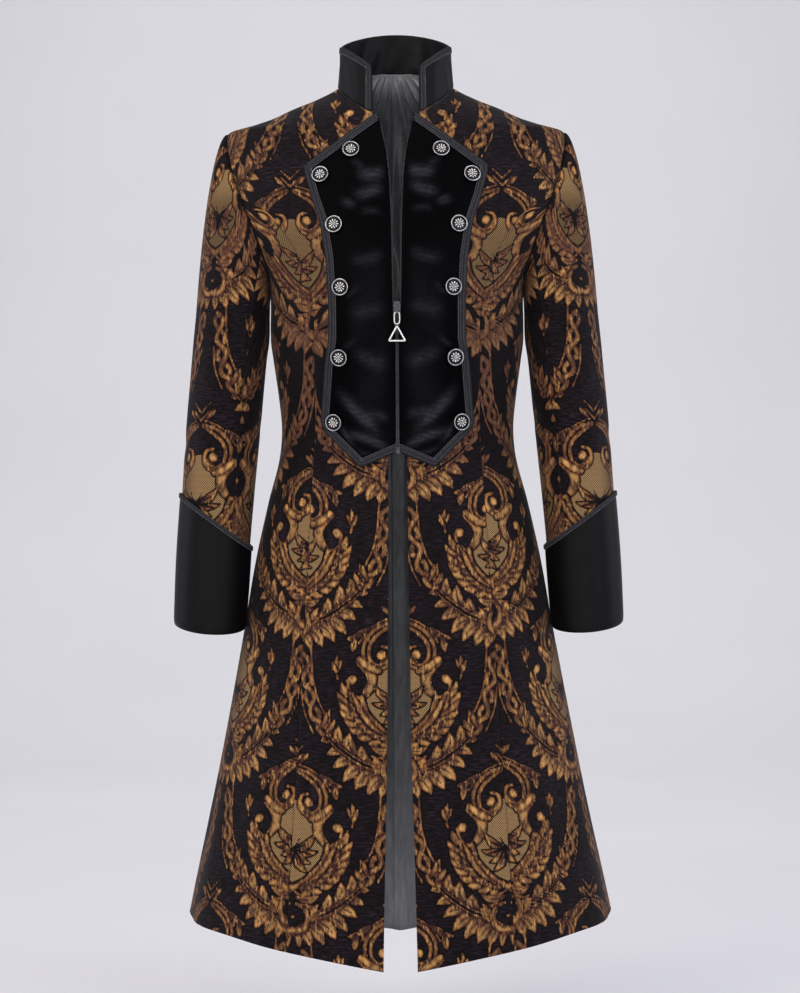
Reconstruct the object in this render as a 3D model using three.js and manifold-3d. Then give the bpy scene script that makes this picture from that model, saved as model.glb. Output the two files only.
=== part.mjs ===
// A full-skirted brocade tailcoat, worn shape, with a velvet plastron, stand collar and deep cuffs.
// Millimetres, +Z up, the front faces -Y. The origin is midway between the two side-neck points,
// on the line of the shoulder seams, where a wearer's shoulders carry the coat.
import * as THREE from 'three';
import { mergeVertices } from 'three/addons/utils/BufferGeometryUtils.js';
import Module from 'manifold-3d';

// Cloth, braid and seams
const clothWall = 2;
const velvetWall = 1.6;
const liningWall = 1;
const seamGap = 0.3;
const layerGap = 0.3;
const braidWall = 1.5;
const plastronLift = layerGap;
const plastronBraidLift = plastronLift + velvetWall + layerGap;
const sleeveSeamShift = 0.7;

// Neck and shoulders
const neckHalf = 77;
const frontNeckDrop = 46;
const backNeckRise = 26;
const shoulderEndZ = -60;
const underarmZ = -270;

// Skirt
const hemZ = -1095;
const hemDropFront = 51;
const hemDropBack = 51.6;
const hemBlendZ = -900;
const hemCurve = 1.03;
const waveStartZ = -640;
const frontWave = 1.2;
const backWave = 5;
const waveCount = 11;

// The worn body from the nape down: half is the half width at the side, front and back are depths
// ahead of and behind the shoulder line, power says how square the ring is.
const bodyRows = [
  { z: 26, half: 77, front: 20, back: 63, power: 2 },
  { z: 13, half: 77, front: 22, back: 66, power: 2 },
  { z: 0, half: 77, front: 28, back: 71, power: 2 },
  { z: -16, half: 106, front: 46, back: 78, power: 2 },
  { z: -29, half: 138, front: 60, back: 84, power: 2 },
  { z: -42, half: 166, front: 71, back: 89, power: 2 },
  { z: -50, half: 190, front: 76, back: 92, power: 2 },
  { z: -60, half: 222, front: 81, back: 95, power: 2.05 },
  { z: -97, half: 228, front: 98, back: 104, power: 2.1 },
  { z: -140, half: 223, front: 115, back: 112, power: 2.15 },
  { z: -165, half: 217, front: 122, back: 115, power: 2.2 },
  { z: -196, half: 206, front: 129, back: 116, power: 2.2 },
  { z: -222, half: 190, front: 133, back: 116, power: 2.25 },
  { z: -248, half: 174, front: 136, back: 115, power: 2.3 },
  { z: -270, half: 168, front: 138, back: 114, power: 2.3 },
  { z: -335, half: 167.6, front: 132.5, back: 105, power: 2.3 },
  { z: -362, half: 164.2, front: 129, back: 100, power: 2.3 },
  { z: -415, half: 157, front: 118, back: 91, power: 2.25 },
  { z: -455, half: 153.7, front: 112, back: 88, power: 2.2 },
  { z: -495, half: 157.6, front: 114, back: 91, power: 2.2 },
  { z: -548, half: 171.6, front: 123, back: 100, power: 2.2 },
  { z: -628, half: 189, front: 138, back: 118, power: 2.2 },
  { z: -734, half: 206, front: 150, back: 130, power: 2.2 },
  { z: -894, half: 237, front: 168, back: 150, power: 2.2 },
  { z: -1053, half: 271, front: 186, back: 170, power: 2.2 },
  { z: -1150, half: 291, front: 196, back: 183, power: 2.2 },
];

// Princess seams, as distance from the middle of the coat. Each starts on the armhole.
const frontSeamTopZ = -150;
const frontSeamRows = [
  { z: -150, x: 206 },
  { z: -163, x: 184 },
  { z: -178, x: 163 },
  { z: -211, x: 140 },
  { z: -239, x: 125.5 },
  { z: -281, x: 112.5 },
  { z: -312, x: 108 },
  { z: -362, x: 108 },
  { z: -455, x: 108 },
  { z: -573, x: 114.6 },
  { z: -724, x: 123.2 },
  { z: -871, x: 131 },
  { z: -1014, x: 140 },
  { z: -1150, x: 148 },
];
const backSeamTopZ = -190;
const backSeamRows = [
  { z: -190, x: 184 },
  { z: -220, x: 158 },
  { z: -260, x: 134 },
  { z: -300, x: 119 },
  { z: -362, x: 102 },
  { z: -455, x: 88 },
  { z: -548, x: 93 },
  { z: -628, x: 101 },
  { z: -734, x: 112 },
  { z: -894, x: 127 },
  { z: -1053, x: 142 },
  { z: -1150, x: 151 },
];

// Front opening: velvet is the plastron's inner edge, brocade the fronts' edge, from the middle.
const openingRows = [
  { z: -40, velvet: 23.5, brocade: 31 },
  { z: -60, velvet: 20.5, brocade: 29 },
  { z: -95, velvet: 13, brocade: 23 },
  { z: -133, velvet: 9.3, brocade: 19 },
  { z: -188, velvet: 7, brocade: 17 },
  { z: -266, velvet: 6, brocade: 15.5 },
  { z: -290, velvet: 5.6, brocade: 15 },
  { z: -312, velvet: 5.2, brocade: 14.5 },
  { z: -330, velvet: 2.2, brocade: 13 },
  { z: -470, velvet: 2.2, brocade: 12 },
  { z: -478, velvet: 3.4, brocade: 12 },
  { z: -509, velvet: 3.4, brocade: 12 },
  { z: -675, velvet: 3.4, brocade: 13.3 },
  { z: -877, velvet: 3.4, brocade: 15.3 },
  { z: -990, velvet: 3.4, brocade: 18.4 },
  { z: -1150, velvet: 3.4, brocade: 23 },
];

// Plastron: its upper edge rises from the outer corner to the neck, its side edge runs down to the
// lower corner and on to the point.
const plastronTop = { x: 23.5, z: -42 };
const plastronPoint = { x: 45.5, z: -505 };
const plastronInnerFoot = { x: 3.4, z: -487 };
const plastronSideRows = [
  { z: -113.6, x: 118.3 },
  { z: -122.5, x: 118.2 },
  { z: -156, x: 109.4 },
  { z: -189, x: 98.3 },
  { z: -234, x: 91 },
  { z: -288, x: 87.6 },
  { z: -339, x: 87.6 },
  { z: -372, x: 92.5 },
  { z: -421, x: 96.3 },
  { z: -445, x: 98.3 },
  { z: -458.7, x: 93.4 },
  { z: -503.4, x: 50.4 },
];
const braidWidth = 10.5;

// Buttons, one row for each on the right half in the front view, mirrored on the other half
const buttonRows = [
  { x: 58, z: -95 },
  { x: 97.4, z: -128 },
  { x: 79.5, z: -193.5 },
  { x: 71.3, z: -274 },
  { x: 73.5, z: -363.5 },
  { x: 81, z: -446.5 },
];
const buttonRadius = 11;
const buttonShankRadius = 3;
const buttonSides = 10;
const buttonBackLift = plastronBraidLift + braidWall + 0.8;

// Collar
const collarWall = 2.4;
const collarFrontX = 31;
const collarBaseLift = 0.9;
const collarTopHalf = 73.6;
const collarTopFront = 66;
const collarTopBack = 63;
const collarBackRise = 27.5;
const collarSideTopZ = 53.5;
const collarTopFrontX = 31;
const collarFrontTopZ = 21;
const collarCorner = 7;
const collarBraidWidth = 9;
const collarBraidWall = 1.2;

// Sleeves: rows of the tube below the cap, x and y its centre, wide and deep its half sizes
const sleeveRows = [
  { z: -300, x: 217.9, y: -2, wide: 48.9, deep: 66 },
  { z: -335, x: 220, y: -4, wide: 50.3, deep: 64.5 },
  { z: -362, x: 223, y: -5, wide: 49.6, deep: 63.5 },
  { z: -450, x: 230.8, y: -11, wide: 49.3, deep: 60 },
  { z: -550, x: 238.6, y: -19, wide: 47.5, deep: 56 },
  { z: -628, x: 244.2, y: -25, wide: 46.6, deep: 53 },
  { z: -712, x: 248.9, y: -31, wide: 45.6, deep: 50 },
];
const armholeDepthTop = 34;
const armholeDepthLow = 34;
const capBulge = 27;
const capSteps = [0, 0.05, 0.14, 0.28, 0.48, 0.74];
const sleeveSeamLevel = -222;

// Cuffs: a velvet tube outside the sleeve's end, with a slanting upper edge
const cuffTopZ = -572;
const cuffTopSlant = 35.5;
const cuffFootZ = -710;
const cuffFootSlant = 4;
const cuffFootDip = 11;
const cuffLift = 0.7;
const cuffBraidWidth = 6.5;
const cuffBraidWall = 1.4;

// Zip
const tapeWall = 0.8;
const tapeEdge = 1.9;
const tapeFootZ = -484;
const sliderTopZ = -293;
const sliderLength = 17;
const sliderWidth = 8.6;
const sliderNeck = 4.4;
const sliderDepth = 3;
const bailWidth = 2.2;
const bailLength = 11;
const bailMiddle = -2.5;
const bailHeight = 4.6;
const bailWire = 1.3;
const pullWire = 2.6;
const pullThick = 1.8;
const pullLoopWire = 1.9;
const pullLoopWidth = 8.6;
const pullLoopLength = 17;
const pullTriangleWidth = 23;
const pullTriangleHeight = 22.5;
const boxWidth = 5;
const boxHeight = 8;
const boxDepth = 2.6;
const boxZ = -484;

const brocadeMaterial = new THREE.MeshStandardMaterial({ color: '#6b5030', roughness: 0.8, metalness: 0 });
const velvetMaterial = new THREE.MeshStandardMaterial({ color: '#17171c', roughness: 0.75, metalness: 0 });
const satinMaterial = new THREE.MeshStandardMaterial({ color: '#2a2a2e', roughness: 0.4, metalness: 0 });
const braidMaterial = new THREE.MeshStandardMaterial({ color: '#2c2c31', roughness: 0.7, metalness: 0 });
const tapeMaterial = new THREE.MeshStandardMaterial({ color: '#1d1d20', roughness: 0.8, metalness: 0 });
const metalMaterial = new THREE.MeshStandardMaterial({ color: '#c9c8c6', roughness: 0.3, metalness: 1 });

const wasm = await Module();
wasm.setup();
const coat = new THREE.Group();

function addPiece(name, geometry, material) {
  const mesh = new THREE.Mesh(geometry, material);
  mesh.name = name;
  coat.add(mesh);
  return mesh;
}

// A table's column at any height, as a smooth curve through its rows
function fromRows(rows, column, z) {
  const last = rows.length - 1;
  const height = THREE.MathUtils.clamp(z, rows[last].z, rows[0].z);
  let i = 0;
  while (i < last - 1 && rows[i + 1].z > height) {
    i += 1;
  }
  const slopeAt = (k) => {
    const before = rows[Math.max(k - 1, 0)];
    const after = rows[Math.min(k + 1, last)];
    return (after[column] - before[column]) / (after.z - before.z);
  };
  const span = rows[i + 1].z - rows[i].z;
  const t = (height - rows[i].z) / span;
  const startWeight = 2 * t ** 3 - 3 * t ** 2 + 1;
  const startSlope = (t ** 3 - 2 * t ** 2 + t) * span * slopeAt(i);
  const endSlope = (t ** 3 - t ** 2) * span * slopeAt(i + 1);
  return startWeight * rows[i][column] + (1 - startWeight) * rows[i + 1][column] + startSlope + endSlope;
}

// The same column with straight lines between rows, for outlines with corners
function alongRows(rows, column, z) {
  let i = 0;
  while (i < rows.length - 2 && rows[i + 1].z > z) {
    i += 1;
  }
  const t = THREE.MathUtils.clamp((z - rows[i].z) / (rows[i + 1].z - rows[i].z), 0, 1);
  return THREE.MathUtils.lerp(rows[i][column], rows[i + 1][column], t);
}

// A point of the worn surface. theta is 0 at the middle of the front, a quarter turn at the side
// and a half turn at the middle of the back. level is the height before the hem's curve is added.
function bodyPoint(theta, level) {
  const ring = {
    half: fromRows(bodyRows, 'half', level),
    front: fromRows(bodyRows, 'front', level),
    back: fromRows(bodyRows, 'back', level),
    power: fromRows(bodyRows, 'power', level),
  };
  const across = Math.abs(Math.sin(theta)) ** (2 / ring.power);
  const along = Math.abs(Math.cos(theta)) ** (2 / ring.power);
  const depth = Math.cos(theta) > 0 ? -ring.front : ring.back;
  const fall = THREE.MathUtils.clamp((hemBlendZ - level) / (hemBlendZ - hemZ), 0, 1.2);
  const hemDrop = Math.cos(theta) > 0 ? hemDropFront : hemDropBack;
  const drop = hemDrop * (1 - across ** hemCurve) * fall ** 2;
  const waveFade = THREE.MathUtils.clamp((waveStartZ - level) / (waveStartZ - hemZ), 0, 1.2) ** 1.5;
  const waveSize = THREE.MathUtils.lerp(frontWave, backWave, (1 - Math.cos(theta)) / 2);
  const swell = 1 + (waveFade * waveSize * Math.cos(waveCount * theta)) / ring.half;
  const side = Math.sign(Math.sin(theta));
  return new THREE.Vector3(side * ring.half * across * swell, depth * along * swell, level - drop);
}

function surfaceNormal(pointAt, a, b, stepA, stepB) {
  const alongA = pointAt(a + stepA, b).sub(pointAt(a - stepA, b));
  const alongB = pointAt(a, b + stepB).sub(pointAt(a, b - stepB));
  return alongA.cross(alongB).normalize();
}

// The worn surface moved outward by lift, or inward where lift is negative
function onBody(theta, level, lift) {
  const point = bodyPoint(theta, level);
  if (lift === 0) {
    return point;
  }
  const normal = surfaceNormal(bodyPoint, theta, level, 0.002, 0.5);
  const outward = new THREE.Vector3(point.x, point.y, 0).dot(normal) < 0 ? -1 : 1;
  return point.addScaledVector(normal, outward * lift);
}

function thetaOnFront(x, level) {
  const half = fromRows(bodyRows, 'half', level);
  const power = fromRows(bodyRows, 'power', level);
  return Math.asin(Math.min(x / half, 1) ** (power / 2));
}

function thetaOnBack(x, level) {
  return Math.PI - thetaOnFront(x, level);
}

function neckX(level) {
  if (level > 0) {
    return neckHalf * Math.sqrt(Math.max(1 - (level / backNeckRise) ** (1 / 0.6), 0));
  }
  return neckHalf * Math.sqrt(Math.max(1 - (-level / frontNeckDrop) ** (1 / 0.8), 0));
}

// The armhole, by an angle that is 0 at the shoulder, a quarter turn at the front and a half turn
// under the arm
function armholeLevel(phi) {
  return shoulderEndZ - ((shoulderEndZ - underarmZ) * (1 - Math.cos(phi))) / 2;
}

function armholeDepth(phi) {
  const turn = Math.abs(Math.atan2(Math.sin(phi), Math.cos(phi)));
  const low = THREE.MathUtils.smoothstep(turn, THREE.MathUtils.degToRad(40), THREE.MathUtils.degToRad(125));
  return Math.abs(Math.sin(phi)) * (armholeDepthTop + armholeDepthLow * low);
}

function armholeTheta(phi) {
  const level = armholeLevel(phi);
  const power = fromRows(bodyRows, 'power', level);
  const inFront = Math.sin(phi) >= 0;
  const depth = fromRows(bodyRows, inFront ? 'front' : 'back', level);
  const theta = Math.acos(Math.min(armholeDepth(phi) / depth, 1) ** (power / 2));
  return inFront ? theta : Math.PI - theta;
}

function armholeThetaAt(level, inFront) {
  const share = THREE.MathUtils.clamp((shoulderEndZ - level) / (shoulderEndZ - underarmZ), 0, 1);
  const phi = Math.acos(1 - 2 * share);
  return armholeTheta(inFront ? phi : -phi);
}

// The outer edge of a front or back: shoulder seam, then armhole, then side seam
function outerTheta(level, inFront) {
  if (level >= shoulderEndZ || level <= underarmZ) {
    return Math.PI / 2;
  }
  return armholeThetaAt(level, inFront);
}

function frontOpeningTheta(level) {
  const edge = alongRows(openingRows, 'brocade', level);
  return thetaOnFront(Math.max(edge, neckX(level)), level);
}

function frontSeamTheta(level) {
  const seam = thetaOnFront(fromRows(frontSeamRows, 'x', level), level);
  return level > frontSeamTopZ ? outerTheta(level, true) : Math.min(seam, outerTheta(level, true));
}

function backSeamTheta(level) {
  const seam = thetaOnBack(fromRows(backSeamRows, 'x', level), level);
  return level > backSeamTopZ ? outerTheta(level, false) : Math.max(seam, outerTheta(level, false));
}

// A closed wall between two grids of points, joined all round its edge. A looped wall closes on
// itself from its last column to its first. keep says which cells of the grid belong to the wall.
function wallGeometry(outer, inner, looped = false, keep = () => true) {
  const rowCount = outer.length;
  const columnCount = outer[0].length;
  const positions = [...outer.flat(), ...inner.flat()].flatMap((p) => [p.x, p.y, p.z]);
  const innerStart = rowCount * columnCount;
  const faces = [];
  const quad = (a, b, c, d) => {
    faces.push(a, b, c, a, c, d);
  };
  const cellColumns = looped ? columnCount : columnCount - 1;
  const isKept = (r, c) => {
    const column = looped ? (c + cellColumns) % cellColumns : c;
    const inside = r >= 0 && r < rowCount - 1 && column >= 0 && column < cellColumns;
    return inside && keep(r, column);
  };
  const side = (from, to) => quad(to, from, innerStart + from, innerStart + to);
  for (let r = 0; r < rowCount - 1; r += 1) {
    for (let c = 0; c < cellColumns; c += 1) {
      if (isKept(r, c)) {
        const next = (c + 1) % columnCount;
        const a = r * columnCount + c;
        const b = (r + 1) * columnCount + c;
        const d = r * columnCount + next;
        const e = (r + 1) * columnCount + next;
        quad(a, b, e, d);
        quad(innerStart + a, innerStart + d, innerStart + e, innerStart + b);
        const edges = [[r - 1, c, d, a], [r + 1, c, b, e], [r, c - 1, a, b], [r, c + 1, e, d]];
        edges.filter(([row, column]) => !isKept(row, column)).forEach(([, , from, to]) => side(from, to));
      }
    }
  }
  let volume = 0;
  const corner = (i) => new THREE.Vector3().fromArray(positions, 3 * i);
  for (let i = 0; i < faces.length; i += 3) {
    volume += corner(faces[i]).dot(corner(faces[i + 1]).cross(corner(faces[i + 2])));
  }
  const geometry = new THREE.BufferGeometry();
  geometry.setAttribute('position', new THREE.Float32BufferAttribute(positions, 3));
  geometry.setIndex(volume < 0 ? faces.reverse() : faces);
  return geometry;
}

function mirrorGeometry(geometry) {
  const flipped = geometry.clone();
  flipped.applyMatrix4(new THREE.Matrix4().makeScale(-1, 1, 1));
  flipped.setIndex([...geometry.index.array].reverse());
  return flipped;
}

// Adds the piece on the right of the front view and its mirror image on the left
function addPair(name, geometry, material) {
  addPiece(`${name}_right`, geometry, material);
  addPiece(`${name}_left`, mirrorGeometry(geometry), material);
}

function closedGeometry(geometry) {
  geometry.deleteAttribute('normal');
  geometry.deleteAttribute('uv');
  return mergeVertices(geometry, 1e-4);
}

// A geometry as a solid, to join with another or be cut by it
function solidFrom(geometry) {
  const merged = closedGeometry(geometry);
  return new wasm.Manifold(new wasm.Mesh({
    numProp: 3,
    vertProperties: new Float32Array(merged.attributes.position.array),
    triVerts: new Uint32Array(merged.index.array),
  }));
}

function geometryFrom(solid) {
  const mesh = solid.getMesh();
  const geometry = new THREE.BufferGeometry();
  geometry.setAttribute('position', new THREE.BufferAttribute(mesh.vertProperties, 3));
  geometry.setIndex(new THREE.BufferAttribute(mesh.triVerts, 1));
  return geometry;
}

// Angles across a panel at one level, from edge to edge, each end trimmed by half a seam gap
function panelThetas(level, columns, innerEdge, outerEdge) {
  const from = innerEdge(level);
  const to = outerEdge(level);
  const step = 0.01;
  const trimAt = (theta) => {
    const arc = bodyPoint(theta + step, level).distanceTo(bodyPoint(theta - step, level));
    return (seamGap * step) / arc;
  };
  const start = from + Math.sign(to - from) * trimAt(from);
  const end = to - Math.sign(to - from) * trimAt(to);
  return Array.from({ length: columns + 1 }, (_, c) => THREE.MathUtils.lerp(start, end, c / columns));
}

const bodyMarks = [22, 15, 7, 0, -5, -10, -16, -22, -29, -35, -42, -50, -60];
const armholeMarks = [-64, -70, -78, -97, -118, -140, -165, -190, -206, -222, -235, -248, -262, -270];
const frontMarks = [
  -300, -335, -370, -400, -425, -450, -475, -500, -548, -628, -734, -815, -894, -960, -1030,
];
const backMarks = [-330, -400, -455, -500, -548, -628, -734, -840, -950, -1030];

function levelsBetween(top, foot, lowMarks) {
  const marks = [...bodyMarks, ...armholeMarks, ...lowMarks];
  return [top, ...marks.filter((mark) => mark < top - 1.5 && mark > foot + 3), foot];
}

function addBodyPanel(name, levels, columns, innerEdge, outerEdge) {
  const grid = (lift) => levels.map((level) => panelThetas(level, columns, innerEdge, outerEdge)
    .map((theta) => onBody(theta, level, lift)));
  addPair(name, wallGeometry(grid(0), grid(-clothWall)), brocadeMaterial);
}

const frontColumns = 5;
const backColumns = 4;

function backInnerTheta(level) {
  return level > 0 ? thetaOnBack(neckX(level), level) : backSeamTheta(level);
}

function addBody() {
  const frontSide = (level) => outerTheta(level, true);
  const backSide = (level) => outerTheta(level, false);
  addBodyPanel('front', levelsBetween(-1.5, hemZ, frontMarks), frontColumns, frontOpeningTheta, frontSeamTheta);
  addBodyPanel('side_front', levelsBetween(frontSeamTopZ - 3, hemZ, frontMarks), 3, frontSeamTheta, frontSide);
  addBodyPanel('side_back', levelsBetween(backSeamTopZ - 3.5, hemZ, backMarks), 3, backSide, backSeamTheta);
  const backLevels = levelsBetween(backNeckRise - 1, hemZ, backMarks);
  addBodyPanel('back', backLevels, backColumns, backInnerTheta, () => Math.PI);
}

// The satin behind the two back pieces, made from their inner points moved in
function addLining() {
  const levels = levelsBetween(backNeckRise - 1, hemZ, backMarks);
  const thetas = (level) => panelThetas(level, backColumns, backInnerTheta, () => Math.PI);
  const grid = (lift) => levels.map((level) => thetas(level).map((theta) => onBody(theta, level, lift)));
  const outerLift = -clothWall - layerGap;
  addPair('back_lining', wallGeometry(grid(outerLift), grid(outerLift - liningWall)), satinMaterial);
}

// A layer that lies on the fronts: the fronts' own points moved out, cut to an outline in the front
// view. The layer's first column carries the fronts' line on to the middle of the coat.
function frontLayer(lift, thick, outline) {
  const levels = levelsBetween(-35, -548, frontMarks);
  const thetas = (level) => [
    thetaOnFront(0.2, level),
    ...panelThetas(level, frontColumns, frontOpeningTheta, frontSeamTheta),
  ];
  const grid = (away) => levels.map((level) => thetas(level).map((theta) => onBody(theta, level, away)));
  const shell = solidFrom(wallGeometry(grid(lift + thick), grid(lift)));
  const shape = new THREE.Shape(outline.map(({ x, z }) => new THREE.Vector2(x, z)));
  const cutter = new THREE.ExtrudeGeometry(shape, { depth: 400, bevelEnabled: false });
  cutter.rotateX(Math.PI / 2);
  return geometryFrom(shell.intersect(solidFrom(cutter)));
}

const plastronOutline = [plastronTop, ...plastronSideRows, plastronPoint, plastronInnerFoot];

function addPlastron() {
  const innerEdge = openingRows
    .filter((row) => row.z < plastronTop.z && row.z > plastronInnerFoot.z)
    .map((row) => ({ x: row.velvet, z: row.z }))
    .reverse();
  const outline = [...plastronOutline, ...innerEdge];
  addPair('plastron', frontLayer(plastronLift, velvetWall, outline), velvetMaterial);
}

// The points of a path moved to its right by a width, with mitred corners
function mitredInside(path, width) {
  return path.map((point, i) => {
    const before = path[Math.max(i - 1, 0)];
    const after = path[Math.min(i + 1, path.length - 1)];
    const into = new THREE.Vector2(point.x - before.x, point.z - before.z).normalize();
    const onward = new THREE.Vector2(after.x - point.x, after.z - point.z).normalize();
    const first = i === 0 ? onward : into;
    const second = i === path.length - 1 ? into : onward;
    const bisector = first.clone().add(second).normalize();
    const across = new THREE.Vector2(bisector.y, -bisector.x);
    const stretch = width / Math.max(across.dot(new THREE.Vector2(second.y, -second.x)), 0.5);
    return { x: point.x + across.x * stretch, z: point.z + across.y * stretch };
  });
}

function addPlastronBraid() {
  const inside = mitredInside(plastronOutline, braidWidth);
  const last = inside.length - 1;
  inside[0] = { x: plastronTop.x, z: plastronTop.z - braidWidth * 1.25 };
  inside[last] = { x: plastronInnerFoot.x, z: plastronInnerFoot.z + braidWidth * 1.1 };
  const outline = [...plastronOutline, ...inside.reverse()];
  addPair('plastron_braid', frontLayer(plastronBraidLift, braidWall, outline), braidMaterial);
}

function onFront(x, z, lift) {
  return onBody(thetaOnFront(x, z), z, lift);
}

// The collar: turn runs from its front edge round to the middle of the back, rise from 0 at the
// neck seam to 1 at the top edge.
function collarPoint(turn, rise) {
  const share = Math.abs(turn);
  const baseTurn = THREE.MathUtils.lerp(Math.asin(collarFrontX / neckHalf), Math.PI, share);
  const topTurn = THREE.MathUtils.lerp(Math.asin(collarTopFrontX / collarTopHalf), Math.PI, share);
  const baseX = neckHalf * Math.sin(baseTurn);
  const baseCos = Math.cos(baseTurn);
  const atFront = baseCos > 0;
  const baseZ = atFront ? -frontNeckDrop * baseCos ** 1.6 : backNeckRise * (-baseCos) ** 1.2;
  const half = fromRows(bodyRows, 'half', baseZ);
  const power = fromRows(bodyRows, 'power', baseZ);
  const depth = fromRows(bodyRows, atFront ? 'front' : 'back', baseZ);
  const along = (1 - Math.min(baseX / half, 1) ** power) ** (1 / power);
  const base = new THREE.Vector3(baseX, atFront ? -depth * along : depth * along, baseZ + collarBaseLift);
  const topX = collarTopHalf * Math.sin(topTurn);
  const topCos = Math.cos(topTurn);
  const slope = (collarSideTopZ - collarFrontTopZ) / (collarTopHalf - collarTopFrontX);
  const frontTop = collarSideTopZ - slope * (collarTopHalf - topX);
  const backTop = collarSideTopZ + collarBackRise * (-topCos) ** 1.2;
  const topY = topCos > 0 ? -collarTopFront * topCos : -collarTopBack * topCos;
  const top = new THREE.Vector3(topX, topY, topCos > 0 ? frontTop : backTop);
  const point = base.lerp(top, rise);
  if (turn < 0) {
    point.x *= -1;
  }
  return point;
}

// The collar's surface moved outward by lift. side is 1 on the right and -1 on the left.
function onCollar(share, rise, lift, side = 1) {
  const pointAt = (a, b) => collarPoint(THREE.MathUtils.clamp(a, 0, 1), b);
  const normal = surfaceNormal(pointAt, THREE.MathUtils.clamp(share, 0.001, 0.999), rise, 0.001, 0.01);
  const point = pointAt(share, rise);
  const outward = new THREE.Vector3(point.x, point.y, 0).dot(normal) < 0 ? -1 : 1;
  point.addScaledVector(normal, outward * lift);
  point.x *= side;
  return point;
}

function collarLength() {
  let length = 0;
  const steps = 200;
  for (let i = 0; i < steps; i += 1) {
    length += collarPoint(i / steps, 0.5).distanceTo(collarPoint((i + 1) / steps, 0.5));
  }
  return length;
}

const halfCollarLength = collarLength();

// The rounded front corner takes this much off the collar's rise
function cornerCut(distance) {
  const away = Math.max(collarCorner - distance, 0);
  return collarCorner - Math.sqrt(collarCorner ** 2 - away ** 2);
}

function collarRise(share, rise) {
  const height = collarPoint(share, 0).distanceTo(collarPoint(share, 1));
  return rise * (1 - cornerCut(share * halfCollarLength) / height);
}

const collarSteps = [0, 0.8, 2.5, 5, collarBraidWidth, 14, 21, 29, 38, 48, 60, 74, 90, 106, 122, 138, 156, 176];
const collarBraidSteps = 11;
const collarRises = [0, 0.3, 0.6, 'braid', 1];

function collarRow(rise, lift, side) {
  return [...collarSteps.map((mm) => mm / halfCollarLength), 1].map((share) => {
    const height = collarPoint(share, 0).distanceTo(collarPoint(share, 1));
    const level = rise === 'braid' ? 1 - collarBraidWidth / height : rise;
    return onCollar(share, collarRise(share, level), lift, side);
  });
}

function addCollar() {
  const grid = (lift) => collarRises.map((rise) => [
    ...collarRow(rise, lift, 1),
    ...collarRow(rise, lift, -1).slice(0, -1).reverse(),
  ]);
  addPiece('collar', wallGeometry(grid(0), grid(-collarWall)), velvetMaterial);
}

// The braid covers the collar's front columns and its top row, made from the collar's points
function addCollarBraid() {
  const grid = (lift) => collarRises.map((rise) => collarRow(rise, lift, 1).slice(0, collarBraidSteps + 1));
  const frontCells = collarSteps.indexOf(collarBraidWidth);
  const keep = (r, c) => c < frontCells || r === collarRises.length - 2;
  const outer = grid(layerGap + collarBraidWall);
  addPair('collar_braid', wallGeometry(outer, grid(layerGap), false, keep), braidMaterial);
}

// Sleeve surface: phi as on the armhole, run from 0 at the armhole to 1 at the foot of the cap and
// on down the rows to the wrist.
function sleeveRing(phi, z) {
  const wide = fromRows(sleeveRows, 'wide', z);
  const deep = fromRows(sleeveRows, 'deep', z);
  const x = fromRows(sleeveRows, 'x', z) + wide * Math.cos(phi);
  return new THREE.Vector3(x, fromRows(sleeveRows, 'y', z) - deep * Math.sin(phi), z);
}

function sleevePoint(phi, run) {
  const topRing = sleeveRows[0].z;
  if (run >= 1) {
    return sleeveRing(phi, topRing - (run - 1) * 100);
  }
  const start = bodyPoint(armholeTheta(phi), armholeLevel(phi));
  start.x += sleeveSeamShift;
  const point = start.lerp(sleeveRing(phi, topRing), run);
  const size = capBulge * Math.max(run, 0) ** 0.4 * (1 - run) * (0.5 + 0.5 * Math.cos(phi));
  point.x += size * Math.cos(phi);
  point.y -= size * Math.sin(phi);
  return point;
}

function sleeveRun(z) {
  return 1 + (sleeveRows[0].z - z) / 100;
}

function onSleeve(phi, run, lift) {
  const point = sleevePoint(phi, run);
  if (lift === 0) {
    return point;
  }
  const safeRun = Math.max(run, 0.03);
  const normal = surfaceNormal(sleevePoint, phi, safeRun, 0.01, 0.02);
  const middle = new THREE.Vector3(Math.cos(phi), -Math.sin(phi), 0);
  const outward = middle.dot(normal) < 0 ? -1 : 1;
  return point.addScaledVector(normal, outward * lift);
}

function sleeveFootZ(phi) {
  return cuffFootZ + cuffFootSlant * Math.cos(phi) - cuffFootDip * Math.sin(phi);
}

// Angles round the sleeve that meet the fronts' and backs' points on the armhole
const armholeAngles = [shoulderEndZ, ...armholeMarks].map((level) => {
  const share = (shoulderEndZ - level) / (shoulderEndZ - underarmZ);
  return Math.acos(THREE.MathUtils.clamp(1 - 2 * share, -1, 1));
});
const seamIndex = armholeMarks.indexOf(sleeveSeamLevel) + 1;

function sleeveGrid(angles, lift) {
  const heights = [-300, -335, -362, -420, -485, -550, -628];
  const runs = [...capSteps, ...heights.map(sleeveRun), 'foot'];
  return runs.map((run) => angles.map((phi) => {
    const at = run === 'foot' ? sleeveRun(sleeveFootZ(phi) + 2) : run;
    return onSleeve(phi, at, lift);
  }));
}

function addSleeves() {
  const trim = 0.003;
  const upper = armholeAngles.slice(0, seamIndex + 1);
  upper[seamIndex] -= trim;
  const topAngles = [...upper.slice(1).reverse().map((phi) => -phi), ...upper];
  const lower = armholeAngles.slice(seamIndex);
  lower[0] += trim;
  const underAngles = [...lower, ...lower.slice(0, -1).reverse().map((phi) => 2 * Math.PI - phi)];
  const wall = (angles) => wallGeometry(sleeveGrid(angles, 0), sleeveGrid(angles, -clothWall));
  addPair('top_sleeve', wall(topAngles), brocadeMaterial);
  addPair('under_sleeve', wall(underAngles), brocadeMaterial);
}

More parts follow.
